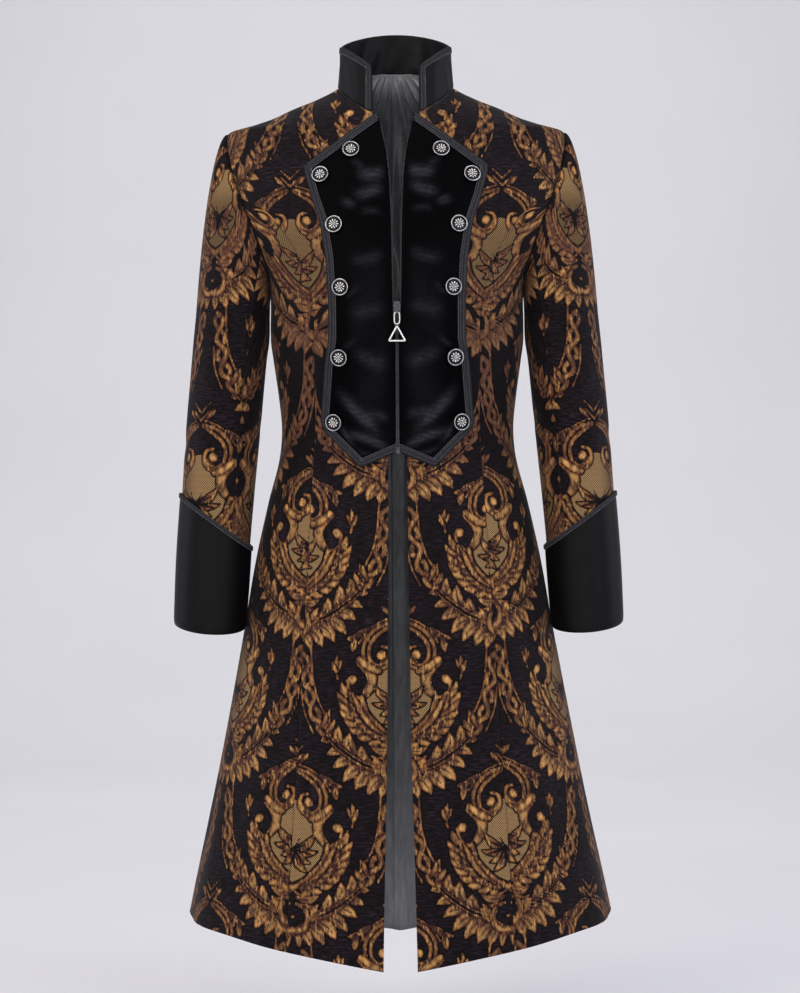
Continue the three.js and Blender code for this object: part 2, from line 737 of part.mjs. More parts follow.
// A closed band round the sleeve between two heights that follow the angle
function sleeveBand(topAt, footAt, steps, lift) {
  const angles = [...armholeAngles, ...armholeAngles.slice(1, -1).reverse().map((phi) => -phi)];
  return Array.from({ length: steps + 1 }, (_, r) => angles.map((phi) => {
    const z = THREE.MathUtils.lerp(topAt(phi), footAt(phi), r / steps);
    return onSleeve(phi, sleeveRun(z), lift);
  }));
}

function addCuffs() {
  const edge = (phi) => cuffTopZ + cuffTopSlant * Math.cos(phi);
  const band = (lift) => sleeveBand(edge, sleeveFootZ, 2, lift);
  addPair('cuff', wallGeometry(band(cuffLift + velvetWall), band(cuffLift), true), velvetMaterial);
  const braidFoot = (phi) => edge(phi) - cuffBraidWidth;
  const braidLift = cuffLift + velvetWall + layerGap;
  const braid = (lift) => sleeveBand(edge, braidFoot, 1, lift);
  const outer = braid(braidLift + cuffBraidWall);
  addPair('cuff_braid', wallGeometry(outer, braid(braidLift), true), braidMaterial);
}

function addZipTapes() {
  const rows = openingRows.filter((row) => row.z < plastronTop.z && row.z > tapeFootZ);
  const last = rows[rows.length - 1];
  const inner = rows.map((row) => ({ x: Math.max(row.velvet - tapeEdge, seamGap), z: row.z }));
  inner[inner.length - 1].x = seamGap;
  inner.push({ x: seamGap, z: tapeFootZ });
  const outer = rows.map((row) => ({ x: row.brocade - 1.5, z: row.z }));
  outer.push({ x: last.brocade - 1.5, z: tapeFootZ });
  addPair('zip_tape', frontLayer(-tapeWall, tapeWall, [...inner, ...outer.reverse()]), tapeMaterial);
}

// A domed button with a raised rim and a shank, turned from its profile
function buttonGeometry(shankLength) {
  const profile = [
    [0, -shankLength],
    [buttonShankRadius, -shankLength],
    [buttonShankRadius, 0],
    [buttonRadius - 0.8, 0],
    [buttonRadius, 0.9],
    [buttonRadius - 0.6, 2.4],
    [buttonRadius - 2.6, 2.2],
    [buttonRadius * 0.4, 3.4],
    [0, 3.8],
  ].map(([radius, height]) => new THREE.Vector2(radius, height));
  return new THREE.LatheGeometry(profile, buttonSides);
}

// Each shank reaches down to the velvet of the plastron below it
function addButtons() {
  const velvet = coat.getObjectByName('plastron_right');
  for (const side of [-1, 1]) {
    buttonRows.forEach((row, i) => {
      const foot = onFront(row.x, row.z, 0);
      const normal = onFront(row.x, row.z, 1).sub(foot).normalize();
      const place = foot.addScaledVector(normal, buttonBackLift);
      const [seat] = new THREE.Raycaster(place, normal.clone().negate()).intersectObject(velvet);
      const mesh = addPiece(
        `button_${side < 0 ? 'left' : 'right'}_${i + 1}`,
        closedGeometry(buttonGeometry(seat.distance - layerGap)),
        metalMaterial,
      );
      place.x *= side;
      normal.x *= side;
      mesh.position.copy(place);
      mesh.quaternion.setFromUnitVectors(new THREE.Vector3(0, 1, 0), normal.normalize());
    });
  }
}

// Places a piece built with x across, y up the coat and z outward at a height on the zip's line
function zipPlace(level, lift) {
  const foot = onBody(0, level, 0);
  const outward = onBody(0, level, 1).sub(foot).normalize();
  const across = new THREE.Vector3(1, 0, 0);
  const up = outward.clone().cross(across);
  const place = new THREE.Matrix4().makeBasis(across, up, outward);
  return place.setPosition(foot.addScaledVector(outward, lift));
}

function polygon(points) {
  return new THREE.Shape(points.map(([x, y]) => new THREE.Vector2(x, y)));
}

function plate(shape, thick) {
  return new THREE.ExtrudeGeometry(shape, { depth: thick, bevelEnabled: false, curveSegments: 8 });
}

const sliderMiddleZ = sliderTopZ - sliderLength / 2;
const sliderPlace = zipPlace(sliderMiddleZ, layerGap);
const windowHeight = bailHeight - bailWire;
const hingeUp = bailMiddle - bailLength / 2 + bailWire + windowHeight / 2 - 0.3;
const hingePoint = new THREE.Vector3(0, hingeUp, sliderDepth + windowHeight / 2).applyMatrix4(sliderPlace);

// The slider's body is a shield, and a bail for the pull stands over its lower half
function addSlider() {
  const wide = sliderWidth / 2;
  const half = sliderLength / 2;
  const shield = polygon([
    [-wide, half * 0.75], [-wide * 0.7, half], [wide * 0.7, half], [wide, half * 0.75],
    [wide, -half * 0.1], [sliderNeck / 2, -half], [-sliderNeck / 2, -half], [-wide, -half * 0.1],
  ]);
  const body = solidFrom(plate(shield, sliderDepth));
  const root = sliderDepth - 0.5;
  const top = sliderDepth + bailHeight;
  const low = bailMiddle - bailLength / 2;
  const high = bailMiddle + bailLength / 2;
  const arch = polygon([
    [low, root], [low, top - bailWire], [low + bailWire, top], [high - bailWire, top],
    [high, top - bailWire], [high, root], [high - bailWire, root], [high - bailWire, top - bailWire],
    [low + bailWire, top - bailWire], [low + bailWire, root],
  ]);
  const bail = plate(arch, bailWidth);
  const upright = new THREE.Matrix4().makeBasis(
    new THREE.Vector3(0, 1, 0),
    new THREE.Vector3(0, 0, 1),
    new THREE.Vector3(1, 0, 0),
  );
  bail.applyMatrix4(upright.setPosition(-bailWidth / 2, 0, 0));
  const joined = geometryFrom(body.add(solidFrom(bail)));
  joined.applyMatrix4(sliderPlace);
  addPiece('zip_slider', joined, metalMaterial);
}

// The pull is a long loop on the bail with an open triangle below it, and hangs plumb
function addPull() {
  const loopTop = pullLoopWire / 2;
  const loopAt = (radius) => {
    const shape = new THREE.Shape();
    const round = pullLoopWidth / 2;
    shape.absarc(0, loopTop - round, radius, 0, Math.PI, false);
    shape.absarc(0, loopTop - pullLoopLength + round, radius, Math.PI, 2 * Math.PI, false);
    return shape;
  };
  const loop = loopAt(pullLoopWidth / 2);
  loop.holes.push(loopAt(pullLoopWidth / 2 - pullLoopWire));
  const apex = loopTop - pullLoopLength + 0.6;
  const foot = apex - pullTriangleHeight;
  const half = pullTriangleWidth / 2;
  const lean = Math.atan(half / pullTriangleHeight);
  const insideFoot = foot + pullWire;
  const insideHalf = (apex - insideFoot) * Math.tan(lean) - pullWire / Math.cos(lean);
  const triangle = polygon([[0, apex], [-half, foot], [half, foot]]);
  const insideApex = apex - pullWire / Math.sin(lean);
  triangle.holes.push(polygon([[0, insideApex], [-insideHalf, insideFoot], [insideHalf, insideFoot]]));
  const solid = solidFrom(plate(loop, pullThick)).add(solidFrom(plate(triangle, pullThick)));
  const geometry = geometryFrom(solid);
  geometry.translate(0, 0, -pullThick / 2);
  geometry.rotateX(Math.PI / 2);
  geometry.translate(hingePoint.x, hingePoint.y, hingePoint.z);
  addPiece('zip_pull', geometry, metalMaterial);
}

function addZipBox() {
  const wide = boxWidth / 2;
  const high = boxHeight / 2;
  const cut = 0.8;
  const face = polygon([
    [-wide, -high + cut], [-wide, high - cut], [-wide + cut, high], [wide - cut, high],
    [wide, high - cut], [wide, -high + cut], [wide - cut, -high], [-wide + cut, -high],
  ]);
  const geometry = closedGeometry(plate(face, boxDepth));
  geometry.applyMatrix4(zipPlace(boxZ, layerGap));
  addPiece('zip_box', geometry, metalMaterial);
}

addBody();
addLining();
addPlastron();
addPlastronBraid();
addCollar();
addCollarBraid();
addSleeves();
addCuffs();
addZipTapes();
addButtons();
addSlider();
addPull();
addZipBox();

export default coat;
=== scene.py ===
# A gold and black brocade tailcoat with velvet plastron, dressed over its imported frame.
# Blender works in metres; every size and table below is in millimetres.
import math

import bpy
import numpy as np
from mathutils import Matrix


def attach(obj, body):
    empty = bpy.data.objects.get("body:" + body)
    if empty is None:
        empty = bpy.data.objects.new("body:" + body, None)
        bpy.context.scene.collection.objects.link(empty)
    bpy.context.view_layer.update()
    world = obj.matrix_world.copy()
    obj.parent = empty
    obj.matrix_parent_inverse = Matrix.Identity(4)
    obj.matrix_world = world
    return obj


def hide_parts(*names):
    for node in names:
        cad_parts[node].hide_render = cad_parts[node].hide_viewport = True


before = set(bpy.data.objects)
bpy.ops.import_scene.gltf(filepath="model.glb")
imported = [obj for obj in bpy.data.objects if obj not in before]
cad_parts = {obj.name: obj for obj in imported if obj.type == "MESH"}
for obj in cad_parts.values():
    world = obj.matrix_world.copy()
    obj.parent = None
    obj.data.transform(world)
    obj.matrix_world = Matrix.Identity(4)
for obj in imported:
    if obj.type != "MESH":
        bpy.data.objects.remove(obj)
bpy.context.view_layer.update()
mm = 0.001

camera = {
    "distance": 3600, "eyeHeight": -543, "aside": 2.6, "roll": 0.33,
    "viewHeight": 1320.7, "filmHeight": 36,
}


def makeCamera():
    data = bpy.data.cameras.new("cameraFront")
    data.sensor_fit = "VERTICAL"
    data.sensor_height = camera["filmHeight"]
    data.lens = camera["filmHeight"] * camera["distance"] / camera["viewHeight"]
    seen = bpy.data.objects.new("cameraFront", data)
    seen.location = (camera["aside"] * mm, -camera["distance"] * mm, camera["eyeHeight"] * mm)
    seen.rotation_euler = (math.radians(90), math.radians(camera["roll"]), 0)
    bpy.context.scene.collection.objects.link(seen)
    bpy.context.scene.camera = seen


makeCamera()
print("camera placed")

# The worn form, ring by ring from the nape down
bodyRows = {
    "z": [26, 13, 0, -16, -29, -42, -50, -60, -97, -140, -165, -196, -222, -248, -270, -335, -362,
          -415, -455, -495, -548, -628, -734, -894, -1053, -1150],
    "half": [77, 77, 77, 106, 138, 166, 190, 222, 228, 223, 217, 206, 190, 174, 168, 167.6, 164.2,
             157, 153.7, 157.6, 171.6, 189, 206, 237, 271, 291],
    "front": [20, 22, 28, 46, 60, 71, 76, 81, 98, 115, 122, 129, 133, 136, 138, 132.5, 129,
              118, 112, 114, 123, 138, 150, 168, 186, 196],
    "back": [63, 66, 71, 78, 84, 89, 92, 95, 104, 112, 115, 116, 116, 115, 114, 105, 100,
             91, 88, 91, 100, 118, 130, 150, 170, 183],
    "power": [2, 2, 2, 2, 2, 2, 2, 2.05, 2.1, 2.15, 2.2, 2.2, 2.25, 2.3, 2.3, 2.3, 2.3,
              2.25, 2.2, 2.2, 2.2, 2.2, 2.2, 2.2, 2.2, 2.2],
}
frontSeam = {
    "z": [-150, -163, -178, -211, -239, -281, -312, -362, -455, -573, -724, -871, -1014, -1150],
    "x": [206, 184, 163, 140, 125.5, 112.5, 108, 108, 108, 114.6, 123.2, 131, 140, 148],
    "top": -150,
}
backSeam = {
    "z": [-190, -220, -260, -300, -362, -455, -548, -628, -734, -894, -1053, -1150],
    "x": [184, 158, 134, 119, 102, 88, 93, 101, 112, 127, 142, 151],
    "top": -190,
}
opening = {
    "z": [-40, -60, -95, -133, -188, -266, -290, -312, -330, -470, -478, -509, -675, -877, -990, -1150],
    "velvet": [23.5, 20.5, 13, 9.3, 7, 6, 5.6, 5.2, 2.2, 2.2, 3.4, 3.4, 3.4, 3.4, 3.4, 3.4],
    "brocade": [31, 29, 23, 19, 17, 15.5, 15, 14.5, 13, 12, 12, 12, 13.3, 15.3, 18.4, 23],
}
form = {
    "neckHalf": 77, "frontNeckDrop": 46, "backNeckRise": 26, "shoulderEnd": -60, "underarm": -270,
    "hem": -1095, "hemDropFront": 51, "hemDropBack": 51.6, "hemBlend": -900, "hemCurve": 1.03,
    "waveStart": -640, "frontWave": 1.2, "backWave": 5, "waveCount": 11,
    "armholeDepth": 34, "seamGap": 0.3,
}
wall = {"cloth": 1.6, "velvet": 1.6, "layerGap": 0.3, "braid": 1.5}


def curveAt(rows, column, z):
    # a smooth curve through a table's rows
    heights = np.array(rows["z"], float)[::-1]
    values = np.array(rows[column], float)[::-1]
    slopes = np.empty_like(values)
    slopes[1:-1] = (values[2:] - values[:-2]) / (heights[2:] - heights[:-2])
    slopes[0] = (values[1] - values[0]) / (heights[1] - heights[0])
    slopes[-1] = (values[-1] - values[-2]) / (heights[-1] - heights[-2])
    z = np.clip(np.asarray(z, float), heights[0], heights[-1])
    i = np.clip(np.searchsorted(heights, z, side="right") - 1, 0, len(heights) - 2)
    span = heights[i + 1] - heights[i]
    t = (z - heights[i]) / span
    start = 2 * t**3 - 3 * t**2 + 1
    bend = (t**3 - 2 * t**2 + t) * slopes[i] + (t**3 - t**2) * slopes[i + 1]
    return start * values[i] + (1 - start) * values[i + 1] + bend * span


def lineAt(rows, column, z):
    # straight lines through a table's rows
    return np.interp(z, np.array(rows["z"], float)[::-1], np.array(rows[column], float)[::-1])


def smoothStep(value, low, high):
    t = np.clip((value - low) / (high - low), 0, 1)
    return t * t * (3 - 2 * t)


def plateau(value, start, full, fade, end):
    # 0 before start, 1 between full and fade, and 0 again past end
    return smoothStep(value, start, full) * (1 - smoothStep(value, fade, end))


def hemEase(level):
    # folds ease off toward the hem
    return smoothStep(level, form["hem"] - 60, form["hem"] + 40) * 0.35 + 0.65


def bodyPoint(theta, level):
    # theta turns from the front to the coat's right side and on to the back
    theta, level = np.broadcast_arrays(np.asarray(theta, float), np.asarray(level, float))
    power = curveAt(bodyRows, "power", level)
    half = curveAt(bodyRows, "half", level)
    across = np.abs(np.sin(theta)) ** (2 / power)
    along = np.abs(np.cos(theta)) ** (2 / power)
    inFront = np.cos(theta) > 0
    depth = np.where(inFront, -curveAt(bodyRows, "front", level), curveAt(bodyRows, "back", level))
    fall = np.clip((form["hemBlend"] - level) / (form["hemBlend"] - form["hem"]), 0, 1.2)
    hemDrop = np.where(inFront, form["hemDropFront"], form["hemDropBack"])
    drop = hemDrop * (1 - across ** form["hemCurve"]) * fall**2
    fade = np.clip((form["waveStart"] - level) / (form["waveStart"] - form["hem"]), 0, 1.2) ** 1.5
    size = form["frontWave"] + (form["backWave"] - form["frontWave"]) * (1 - np.cos(theta)) / 2
    swell = 1 + fade * size * np.cos(form["waveCount"] * theta) / half
    x = np.sign(np.sin(theta)) * half * across * swell
    return np.stack([x, depth * along * swell, level - drop], -1)


def normalsBetween(alongA, alongB, points):
    normal = np.cross(alongA, alongB)
    normal /= np.maximum(np.linalg.norm(normal, axis=-1, keepdims=True), 1e-9)
    outward = np.sign(np.sum(normal[..., :2] * points[..., :2], -1, keepdims=True))
    return normal * np.where(outward == 0, 1, outward)


def onBody(theta, level, lift):
    # a point lifted square off the form
    point = bodyPoint(theta, level)
    alongA = bodyPoint(theta + 0.002, level) - bodyPoint(theta - 0.002, level)
    alongB = bodyPoint(theta, level + 0.5) - bodyPoint(theta, level - 0.5)
    return point + normalsBetween(alongA, alongB, point) * np.asarray(lift, float)[..., None]


def thetaFront(x, level):
    # the turn at which the form's front is x wide
    share = np.minimum(x / curveAt(bodyRows, "half", level), 1)
    return np.arcsin(share ** (curveAt(bodyRows, "power", level) / 2))


def onFront(x, z, lift):
    x, z = np.broadcast_arrays(np.asarray(x, float), np.asarray(z, float))
    return onBody(thetaFront(x, z), z, lift)


def neckX(level):
    # the neckline's half width
    rise = np.clip(level / form["backNeckRise"], 0, 1) ** (1 / 0.6)
    drop = np.clip(-level / form["frontNeckDrop"], 0, 1) ** (1 / 0.8)
    return form["neckHalf"] * np.sqrt(np.maximum(1 - np.where(level > 0, rise, drop), 0))


# The armhole: phi turns from the shoulder's end down the front, under the arm and up the back
def armholeLevel(phi):
    return form["shoulderEnd"] - (form["shoulderEnd"] - form["underarm"]) * (1 - np.cos(phi)) / 2


def armholeTheta(phi):
    level = armholeLevel(phi)
    turn = np.abs(np.arctan2(np.sin(phi), np.cos(phi)))
    low = smoothStep(turn, math.radians(40), math.radians(125))
    depth = np.abs(np.sin(phi)) * form["armholeDepth"] * (1 + low)
    inFront = np.sin(phi) >= 0
    room = np.where(inFront, curveAt(bodyRows, "front", level), curveAt(bodyRows, "back", level))
    theta = np.arccos(np.minimum(depth / room, 1) ** (curveAt(bodyRows, "power", level) / 2))
    return np.where(inFront, theta, math.pi - theta)


def outerTheta(level, inFront):
    # a panel's outer edge: the armhole, and the side seam below it
    reach = form["shoulderEnd"] - form["underarm"]
    share = np.clip((form["shoulderEnd"] - level) / reach, 0, 1)
    phi = np.arccos(1 - 2 * share)
    edge = armholeTheta(phi if inFront else -phi)
    return np.where((level >= form["shoulderEnd"]) | (level <= form["underarm"]), math.pi / 2, edge)


def openingTheta(level):
    return thetaFront(np.maximum(lineAt(opening, "brocade", level), neckX(level)), level)


def frontSeamTheta(level):
    seam = thetaFront(curveAt(frontSeam, "x", level), level)
    edge = outerTheta(level, True)
    return np.where(level > frontSeam["top"], edge, np.minimum(seam, edge))


def backSeamTheta(level):
    seam = math.pi - thetaFront(curveAt(backSeam, "x", level), level)
    edge = outerTheta(level, False)
    return np.where(level > backSeam["top"], edge, np.maximum(seam, edge))


def backInnerTheta(level):
    return np.where(level > 0, math.pi - thetaFront(neckX(level), level), backSeamTheta(level))


def evenSteps(pointAt, shares, count):
    # values of a parameter from 0 to 1 whose rows lie an even distance apart on the cloth
    fine = np.linspace(0, 1, 1500)
    rows = np.stack([pointAt(fine, share) for share in shares])
    steps = np.linalg.norm(np.diff(rows, axis=1), axis=-1).max(0)
    run = np.concatenate([[0], np.cumsum(steps)])
    return np.interp(np.linspace(0, run[-1], count), run, fine)


print("form worked out")


def foldTable(*rows):
    # one fold a row: its start and its end (across, height), its width, and how far it lifts the cloth
    columns = ("startX", "startZ", "endX", "endZ", "width", "lift")
    return [dict(zip(columns, row)) for row in rows]


# Soft creases, listed one by one; across is in degrees round the body from the front
bodyFolds = foldTable(
    (38, -150, 57, -258, 13, -2.2),
    (66, -300, 48, -345, 9, -1.2),
    (75, -395, 46, -420, 8, -1.3),
    (80, -440, 42, -448, 7, -1.5),
    (72, -472, 50, -492, 9, -1.0),
    (30, -620, 36, -1080, 22, -1.6),
    (54, -560, 58, -1100, 26, -2.6),
    (12, -700, 14, -1120, 20, 1.2),
    (84, -640, 80, -1100, 24, 2.2),
    (108, -390, 150, -425, 9, -1.6),
    (112, -452, 160, -462, 8, -1.8),
    (168, -150, 132, -210, 14, -1.6),
    (172, -70, 150, -120, 12, -1.0),
    (128, -600, 124, -1110, 24, -3.0),
    (160, -560, 166, -1120, 22, -2.6),
)
leftFolds = foldTable(
    (36, -165, 55, -262, 12, -2.5),
    (70, -318, 50, -352, 8, -1.0),
    (78, -405, 50, -432, 8, -1.5),
    (74, -455, 44, -460, 7, -1.3),
    (33, -600, 38, -1090, 24, -1.9),
    (58, -590, 60, -1090, 24, -2.2),
    (15, -740, 18, -1120, 20, 1.0),
    (86, -620, 83, -1090, 26, 2.0),
    (110, -410, 148, -440, 9, -1.4),
    (114, -470, 158, -474, 8, -1.5),
    (170, -165, 134, -225, 13, -1.8),
    (130, -620, 127, -1100, 24, -2.7),
    (162, -580, 169, -1110, 22, -2.8),
)
# On the sleeve, the degrees run from the outer side to the front of the arm and round inside
sleeveFolds = foldTable(
    (150, -292, 70, -338, 11, -2.6),
    (178, -330, 104, -352, 9, -1.9),
    (165, -405, 96, -392, 10, -1.7),
    (186, -440, 110, -452, 9, -2.4),
    (170, -486, 118, -474, 8, -1.6),
    (30, -470, -25, -452, 11, -1.4),
    (120, -130, 112, -240, 15, -2.4),
    (-60, -430, -150, -446, 11, -2.3),
    (-70, -478, -140, -470, 9, -1.8),
    (-95, -310, -160, -340, 12, -2.2),
)


def foldHeight(folds, degrees, z, degreeSize=3.0):
    # how far the cloth sinks or rises at each point
    height = np.zeros(np.broadcast(degrees, z).shape)
    for fold in folds:
        startX, startZ = fold["startX"] * degreeSize, fold["startZ"]
        alongX, alongZ = fold["endX"] * degreeSize - startX, fold["endZ"] - startZ
        length = math.hypot(alongX, alongZ)
        offX, offZ = degrees * degreeSize - startX, z - startZ
        t = (offX * alongX + offZ * alongZ) / length**2
        wander = 0.18 * fold["width"] * np.sin(t * 7 + fold["width"])
        away = (offX * alongZ - offZ * alongX) / length + wander
        ends = plateau(t, -0.12, 0.28, 0.7, 1.12)
        height += fold["lift"] * ends * np.exp(-((away / fold["width"]) ** 2))
    return height


def objectFrom(name, points, faces):
    mesh = bpy.data.meshes.new(name)
    mesh.from_pydata(np.asarray(points, float) * mm, [], faces)
    mesh.shade_smooth()
    piece = bpy.data.objects.new(name, mesh)
    bpy.context.scene.collection.objects.link(piece)
    return piece


def gridFaces(rows, columns, start=0, flip=False, looped=False):
    # quads over rows of points, closed into a tube if looped
    across = columns if looped else columns - 1
    r, c = np.meshgrid(np.arange(rows - 1), np.arange(across), indexing="ij")
    nextColumn = (c + 1) % columns
    a = start + r * columns + c
    b = start + (r + 1) * columns + c
    d = start + r * columns + nextColumn
    e = start + (r + 1) * columns + nextColumn
    quads = np.stack([a, b, e, d] if not flip else [a, d, e, b], -1).reshape(-1, 4)
    return quads


def facesOut(points, quads):
    # a closed shell's volume is positive when its faces point outward
    volume = 0
    for corners in (points[quads[:, :3]], points[quads[:, [0, 2, 3]]]):
        volume += np.einsum("ij,ij->i", corners[:, 0], np.cross(corners[:, 1], corners[:, 2])).sum()
    return volume >= 0


def turnedOut(points, quads):
    quads = np.array(quads)
    return (quads if facesOut(points, quads) else quads[:, ::-1]).tolist()


def shellObject(name, outer, inner, every=1, looped=False):
    # a closed cloth shell: a fine outer face, an inner face with one point for every few, and a rim
    rows, columns = outer.shape[:2]
    pickRows = np.union1d(np.arange(0, rows, every), [rows - 1])
    pickColumns = np.arange(0, columns, every)
    if not looped:
        pickColumns = np.union1d(pickColumns, [columns - 1])
    coarse = inner[np.ix_(pickRows, pickColumns)]
    fewRows, fewColumns = coarse.shape[:2]
    start = rows * columns
    points = np.concatenate([outer.reshape(-1, 3), coarse.reshape(-1, 3)])
    quads = np.concatenate([
        gridFaces(rows, columns, looped=looped),
        gridFaces(fewRows, fewColumns, start, flip=True, looped=looped),
    ])
    turned = not facesOut(points, quads)
    if turned:
        quads = quads[:, ::-1]
    rim = []

    def addRim(fine, few, picks):
        for k in range(len(few) - 1):
            strip = fine[picks[k]:picks[k + 1] + 1]
            middle = len(strip) // 2
            for m in range(len(strip) - 1):
                rim.append((strip[m + 1], strip[m], few[k] if m < middle else few[k + 1]))
            rim.append((strip[middle], few[k], few[k + 1]))

    fineIds = np.arange(rows * columns).reshape(rows, columns)
    fewIds = start + np.arange(fewRows * fewColumns).reshape(fewRows, fewColumns)
    acrossPicks = pickColumns
    if looped:
        fineIds = np.concatenate([fineIds, fineIds[:, :1]], 1)
        fewIds = np.concatenate([fewIds, fewIds[:, :1]], 1)
        acrossPicks = np.append(pickColumns, columns)
    addRim(fineIds[0][::-1].tolist(), fewIds[0][::-1].tolist(), acrossPicks[-1] - acrossPicks[::-1])
    addRim(fineIds[-1].tolist(), fewIds[-1].tolist(), acrossPicks)
    if not looped:
        addRim(fineIds[:, 0].tolist(), fewIds[:, 0].tolist(), pickRows)
        addRim(fineIds[::-1, -1].tolist(), fewIds[::-1, -1].tolist(), rows - 1 - pickRows[::-1])
    if turned:
        rim = [face[::-1] for face in rim]
    piece = objectFrom(name, points, quads.tolist() + rim)
    # the cut edges stay crisp
    smooth = np.concatenate([np.ones(len(quads), bool), np.zeros(len(rim), bool)])
    piece.data.polygons.foreach_set("use_smooth", smooth)
    return piece, pickRows, pickColumns


def sideName(side):
    return "right" if side > 0 else "left"


def runAlong(points, axis):
    # the distance from a grid's first row or column to each other one
    steps = np.linalg.norm(np.diff(points, axis=axis), axis=-1)
    return np.insert(np.cumsum(steps, axis), 0, 0, axis)


def addField(piece, name, values):
    field = piece.data.attributes.new(name, "FLOAT", "POINT")
    field.data.foreach_set("value", np.ascontiguousarray(values, np.float32))


def addClothMap(piece, u, v):
    # the piece's own map, in metres along the cloth
    layer = piece.data.uv_layers.new(name="clothMap")
    loops = np.zeros(len(piece.data.loops), np.int32)
    piece.data.loops.foreach_get("vertex_index", loops)
    pairs = np.stack([u[loops], v[loops]], -1) * mm
    layer.data.foreach_set("uv", pairs.astype(np.float32).ravel())


def gridSize(points):
    # widest row and longest column of a piece, and its area, in metres
    across = np.linalg.norm(np.diff(points, axis=1), axis=-1).sum(1).max()
    down = np.linalg.norm(np.diff(points, axis=0), axis=-1).sum(0).max()
    a, b, c, d = points[:-1, :-1], points[1:, :-1], points[1:, 1:], points[:-1, 1:]
    area = 0.5 * np.linalg.norm(np.cross(c - a, d - b), axis=-1).sum()
    return across * mm, down * mm, area * mm * mm


def declareSheet(piece, points):
    width, length, area = gridSize(points)


def paint(piece, material):
    piece.data.materials.clear()
    piece.data.materials.append(material)


def finishPiece(piece, material, body, slot, *nodes):
    paint(piece, material)
    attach(piece, body)
    if nodes:
        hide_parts(*nodes)


print("cloth tools ready")

# The brocade's repeat, charted in units: a fan of leaves, a chain and a leafy shield on each axis.
# The axes lie halfRepeat apart, and every second one is dropped by half a repeat.
chart = {"unit": 1.27, "halfRepeat": 110, "repeat": 296, "cell": 0.35, "outline": 0.8}


def curveThrough(points, steps=7):
    # a smooth path through a few points
    points = np.asarray(points, float)
    padded = np.concatenate([[2 * points[0] - points[1]], points, [2 * points[-1] - points[-2]]])
    path = []
    for i in range(len(points) - 1):
        p0, p1, p2, p3 = padded[i:i + 4]
        t = np.linspace(0, 1, steps, endpoint=False)[:, None]
        path.append(0.5 * (2 * p1 + (p2 - p0) * t + (2 * p0 - 5 * p1 + 4 * p2 - p3) * t**2
                           + (3 * p1 - p0 - 3 * p2 + p3) * t**3))
    return np.concatenate(path + [points[-1:]])


def leafPath(base, tip, half, bend=0.12):
    # a leaf swells from its base and comes to a soft point
    base, tip = np.array(base, float), np.array(tip, float)
    t = np.linspace(0, 1, 9)[:, None]
    side = np.array([base[1] - tip[1], tip[0] - base[0]])
    path = base + (tip - base) * t + side * bend * np.sin(t * math.pi)
    width = half * (0.5 + 0.5 * np.sin(np.clip(t[:, 0] * 1.6, 0, 1) * math.pi / 2))
    width *= np.clip(1 - np.clip((t[:, 0] - 0.5) / 0.5, 0, 1) ** 1.7, 0.04, 1)
    return path, width


figure = []


def addStroke(kind, points, widths, tone=(0.7, 1.0), smooth=True):
    points = np.asarray(points, float)
    path = curveThrough(points) if smooth and len(points) > 2 else points
    widths = np.atleast_1d(np.asarray(widths, float))
    widths = np.interp(np.linspace(0, 1, len(path)), np.linspace(0, 1, len(widths)), widths)
    figure.append({"kind": kind, "path": path, "width": widths, "tone": tone})


def addLeaf(base, tip, half, bend=0.12, tone=(0.25, 1.0), vein=True):
    path, width = leafPath(base, tip, half, bend)
    figure.append({"kind": "leaf", "path": path, "width": width, "tone": tone})
    if vein and half > 3:
        figure.append({"kind": "shade", "path": path[:7], "width": np.linspace(1.3, 0.3, 7), "tone": tone})


def chartFan():
    # two acanthus arms that meet in the node, with leaves above and lobes hanging below
    rib = [(0, 5), (10, 0), (22, -8), (38, -14), (55, -25), (68, -36), (78, -50)]
    upper = [((64, -34), (70, -68), 4.0), ((55, -29), (61, -52), 5.0), ((43, -21), (50, -45), 5.6),
             ((30, -14), (38, -32), 5.2), ((17, -7), (24, -21), 4.2)]
    for base, tip, half in upper:
        addLeaf(base, tip, half, 0.16, (0.1, 1.1))
    lower = [((66, -34), (80, -36), 3.4), ((54, -25), (74, -22), 4.6), ((42, -17), (67, -9), 5.8),
             ((31, -11), (57, 5), 6.4), ((22, -6), (45, 13), 6.6), ((13, -1), (32, 18), 6.2),
             ((6, 2), (19, 21), 5.2), ((0, 4), (6, 22), 4.2)]
    for base, tip, half in lower:
        addLeaf(base, tip, half, -0.14, (0.0, 1.15))
    addStroke("leaf", rib, [2.6, 3.0, 3.2, 3.0, 2.6, 2.0], (0.5, 0.7))
    addStroke("cut", rib, [0.5, 1.0, 1.1, 1.0, 0.7])


def chartChain():
    # two strands twisted into links, between two fine lines
    path = curveThrough([(10, 25), (13, 38), (16, 56), (19, 73), (25, 88), (32, 99), (39, 106)], 10)
    run = np.concatenate([[0], np.cumsum(np.linalg.norm(np.diff(path, axis=0), axis=1))])
    along = np.gradient(path, axis=0)
    along /= np.linalg.norm(along, axis=1, keepdims=True)
    side = np.stack([-along[:, 1], along[:, 0]], 1)
    link = 17.5
    for sign in (1, -1):
        swing = sign * 4.6 * np.sin(run / link * math.pi)
        addStroke("leaf" if sign > 0 else "weave", path + side * swing[:, None], [2.6], (0.35, 0.7), False)
    addStroke("line", [(19, 19), (20, 34), (22, 52), (27, 70), (34, 84)], [1.05])
    addStroke("line", [(8, 60), (11, 78), (15, 90), (22, 104)], [1.0])
    addLeaf((31, 98), (36, 82), 2.6, 0.1)
    addLeaf((36, 103), (45, 90), 3.0, 0.1)


def chartChevrons():
    for v in (128, 136):
        addStroke("line", [(0, v), (5, v - 5), (11, v - 11)], [1.2, 1.1, 0.7], smooth=False)
    addLeaf((8, 134), (18, 124), 2.4, 0)


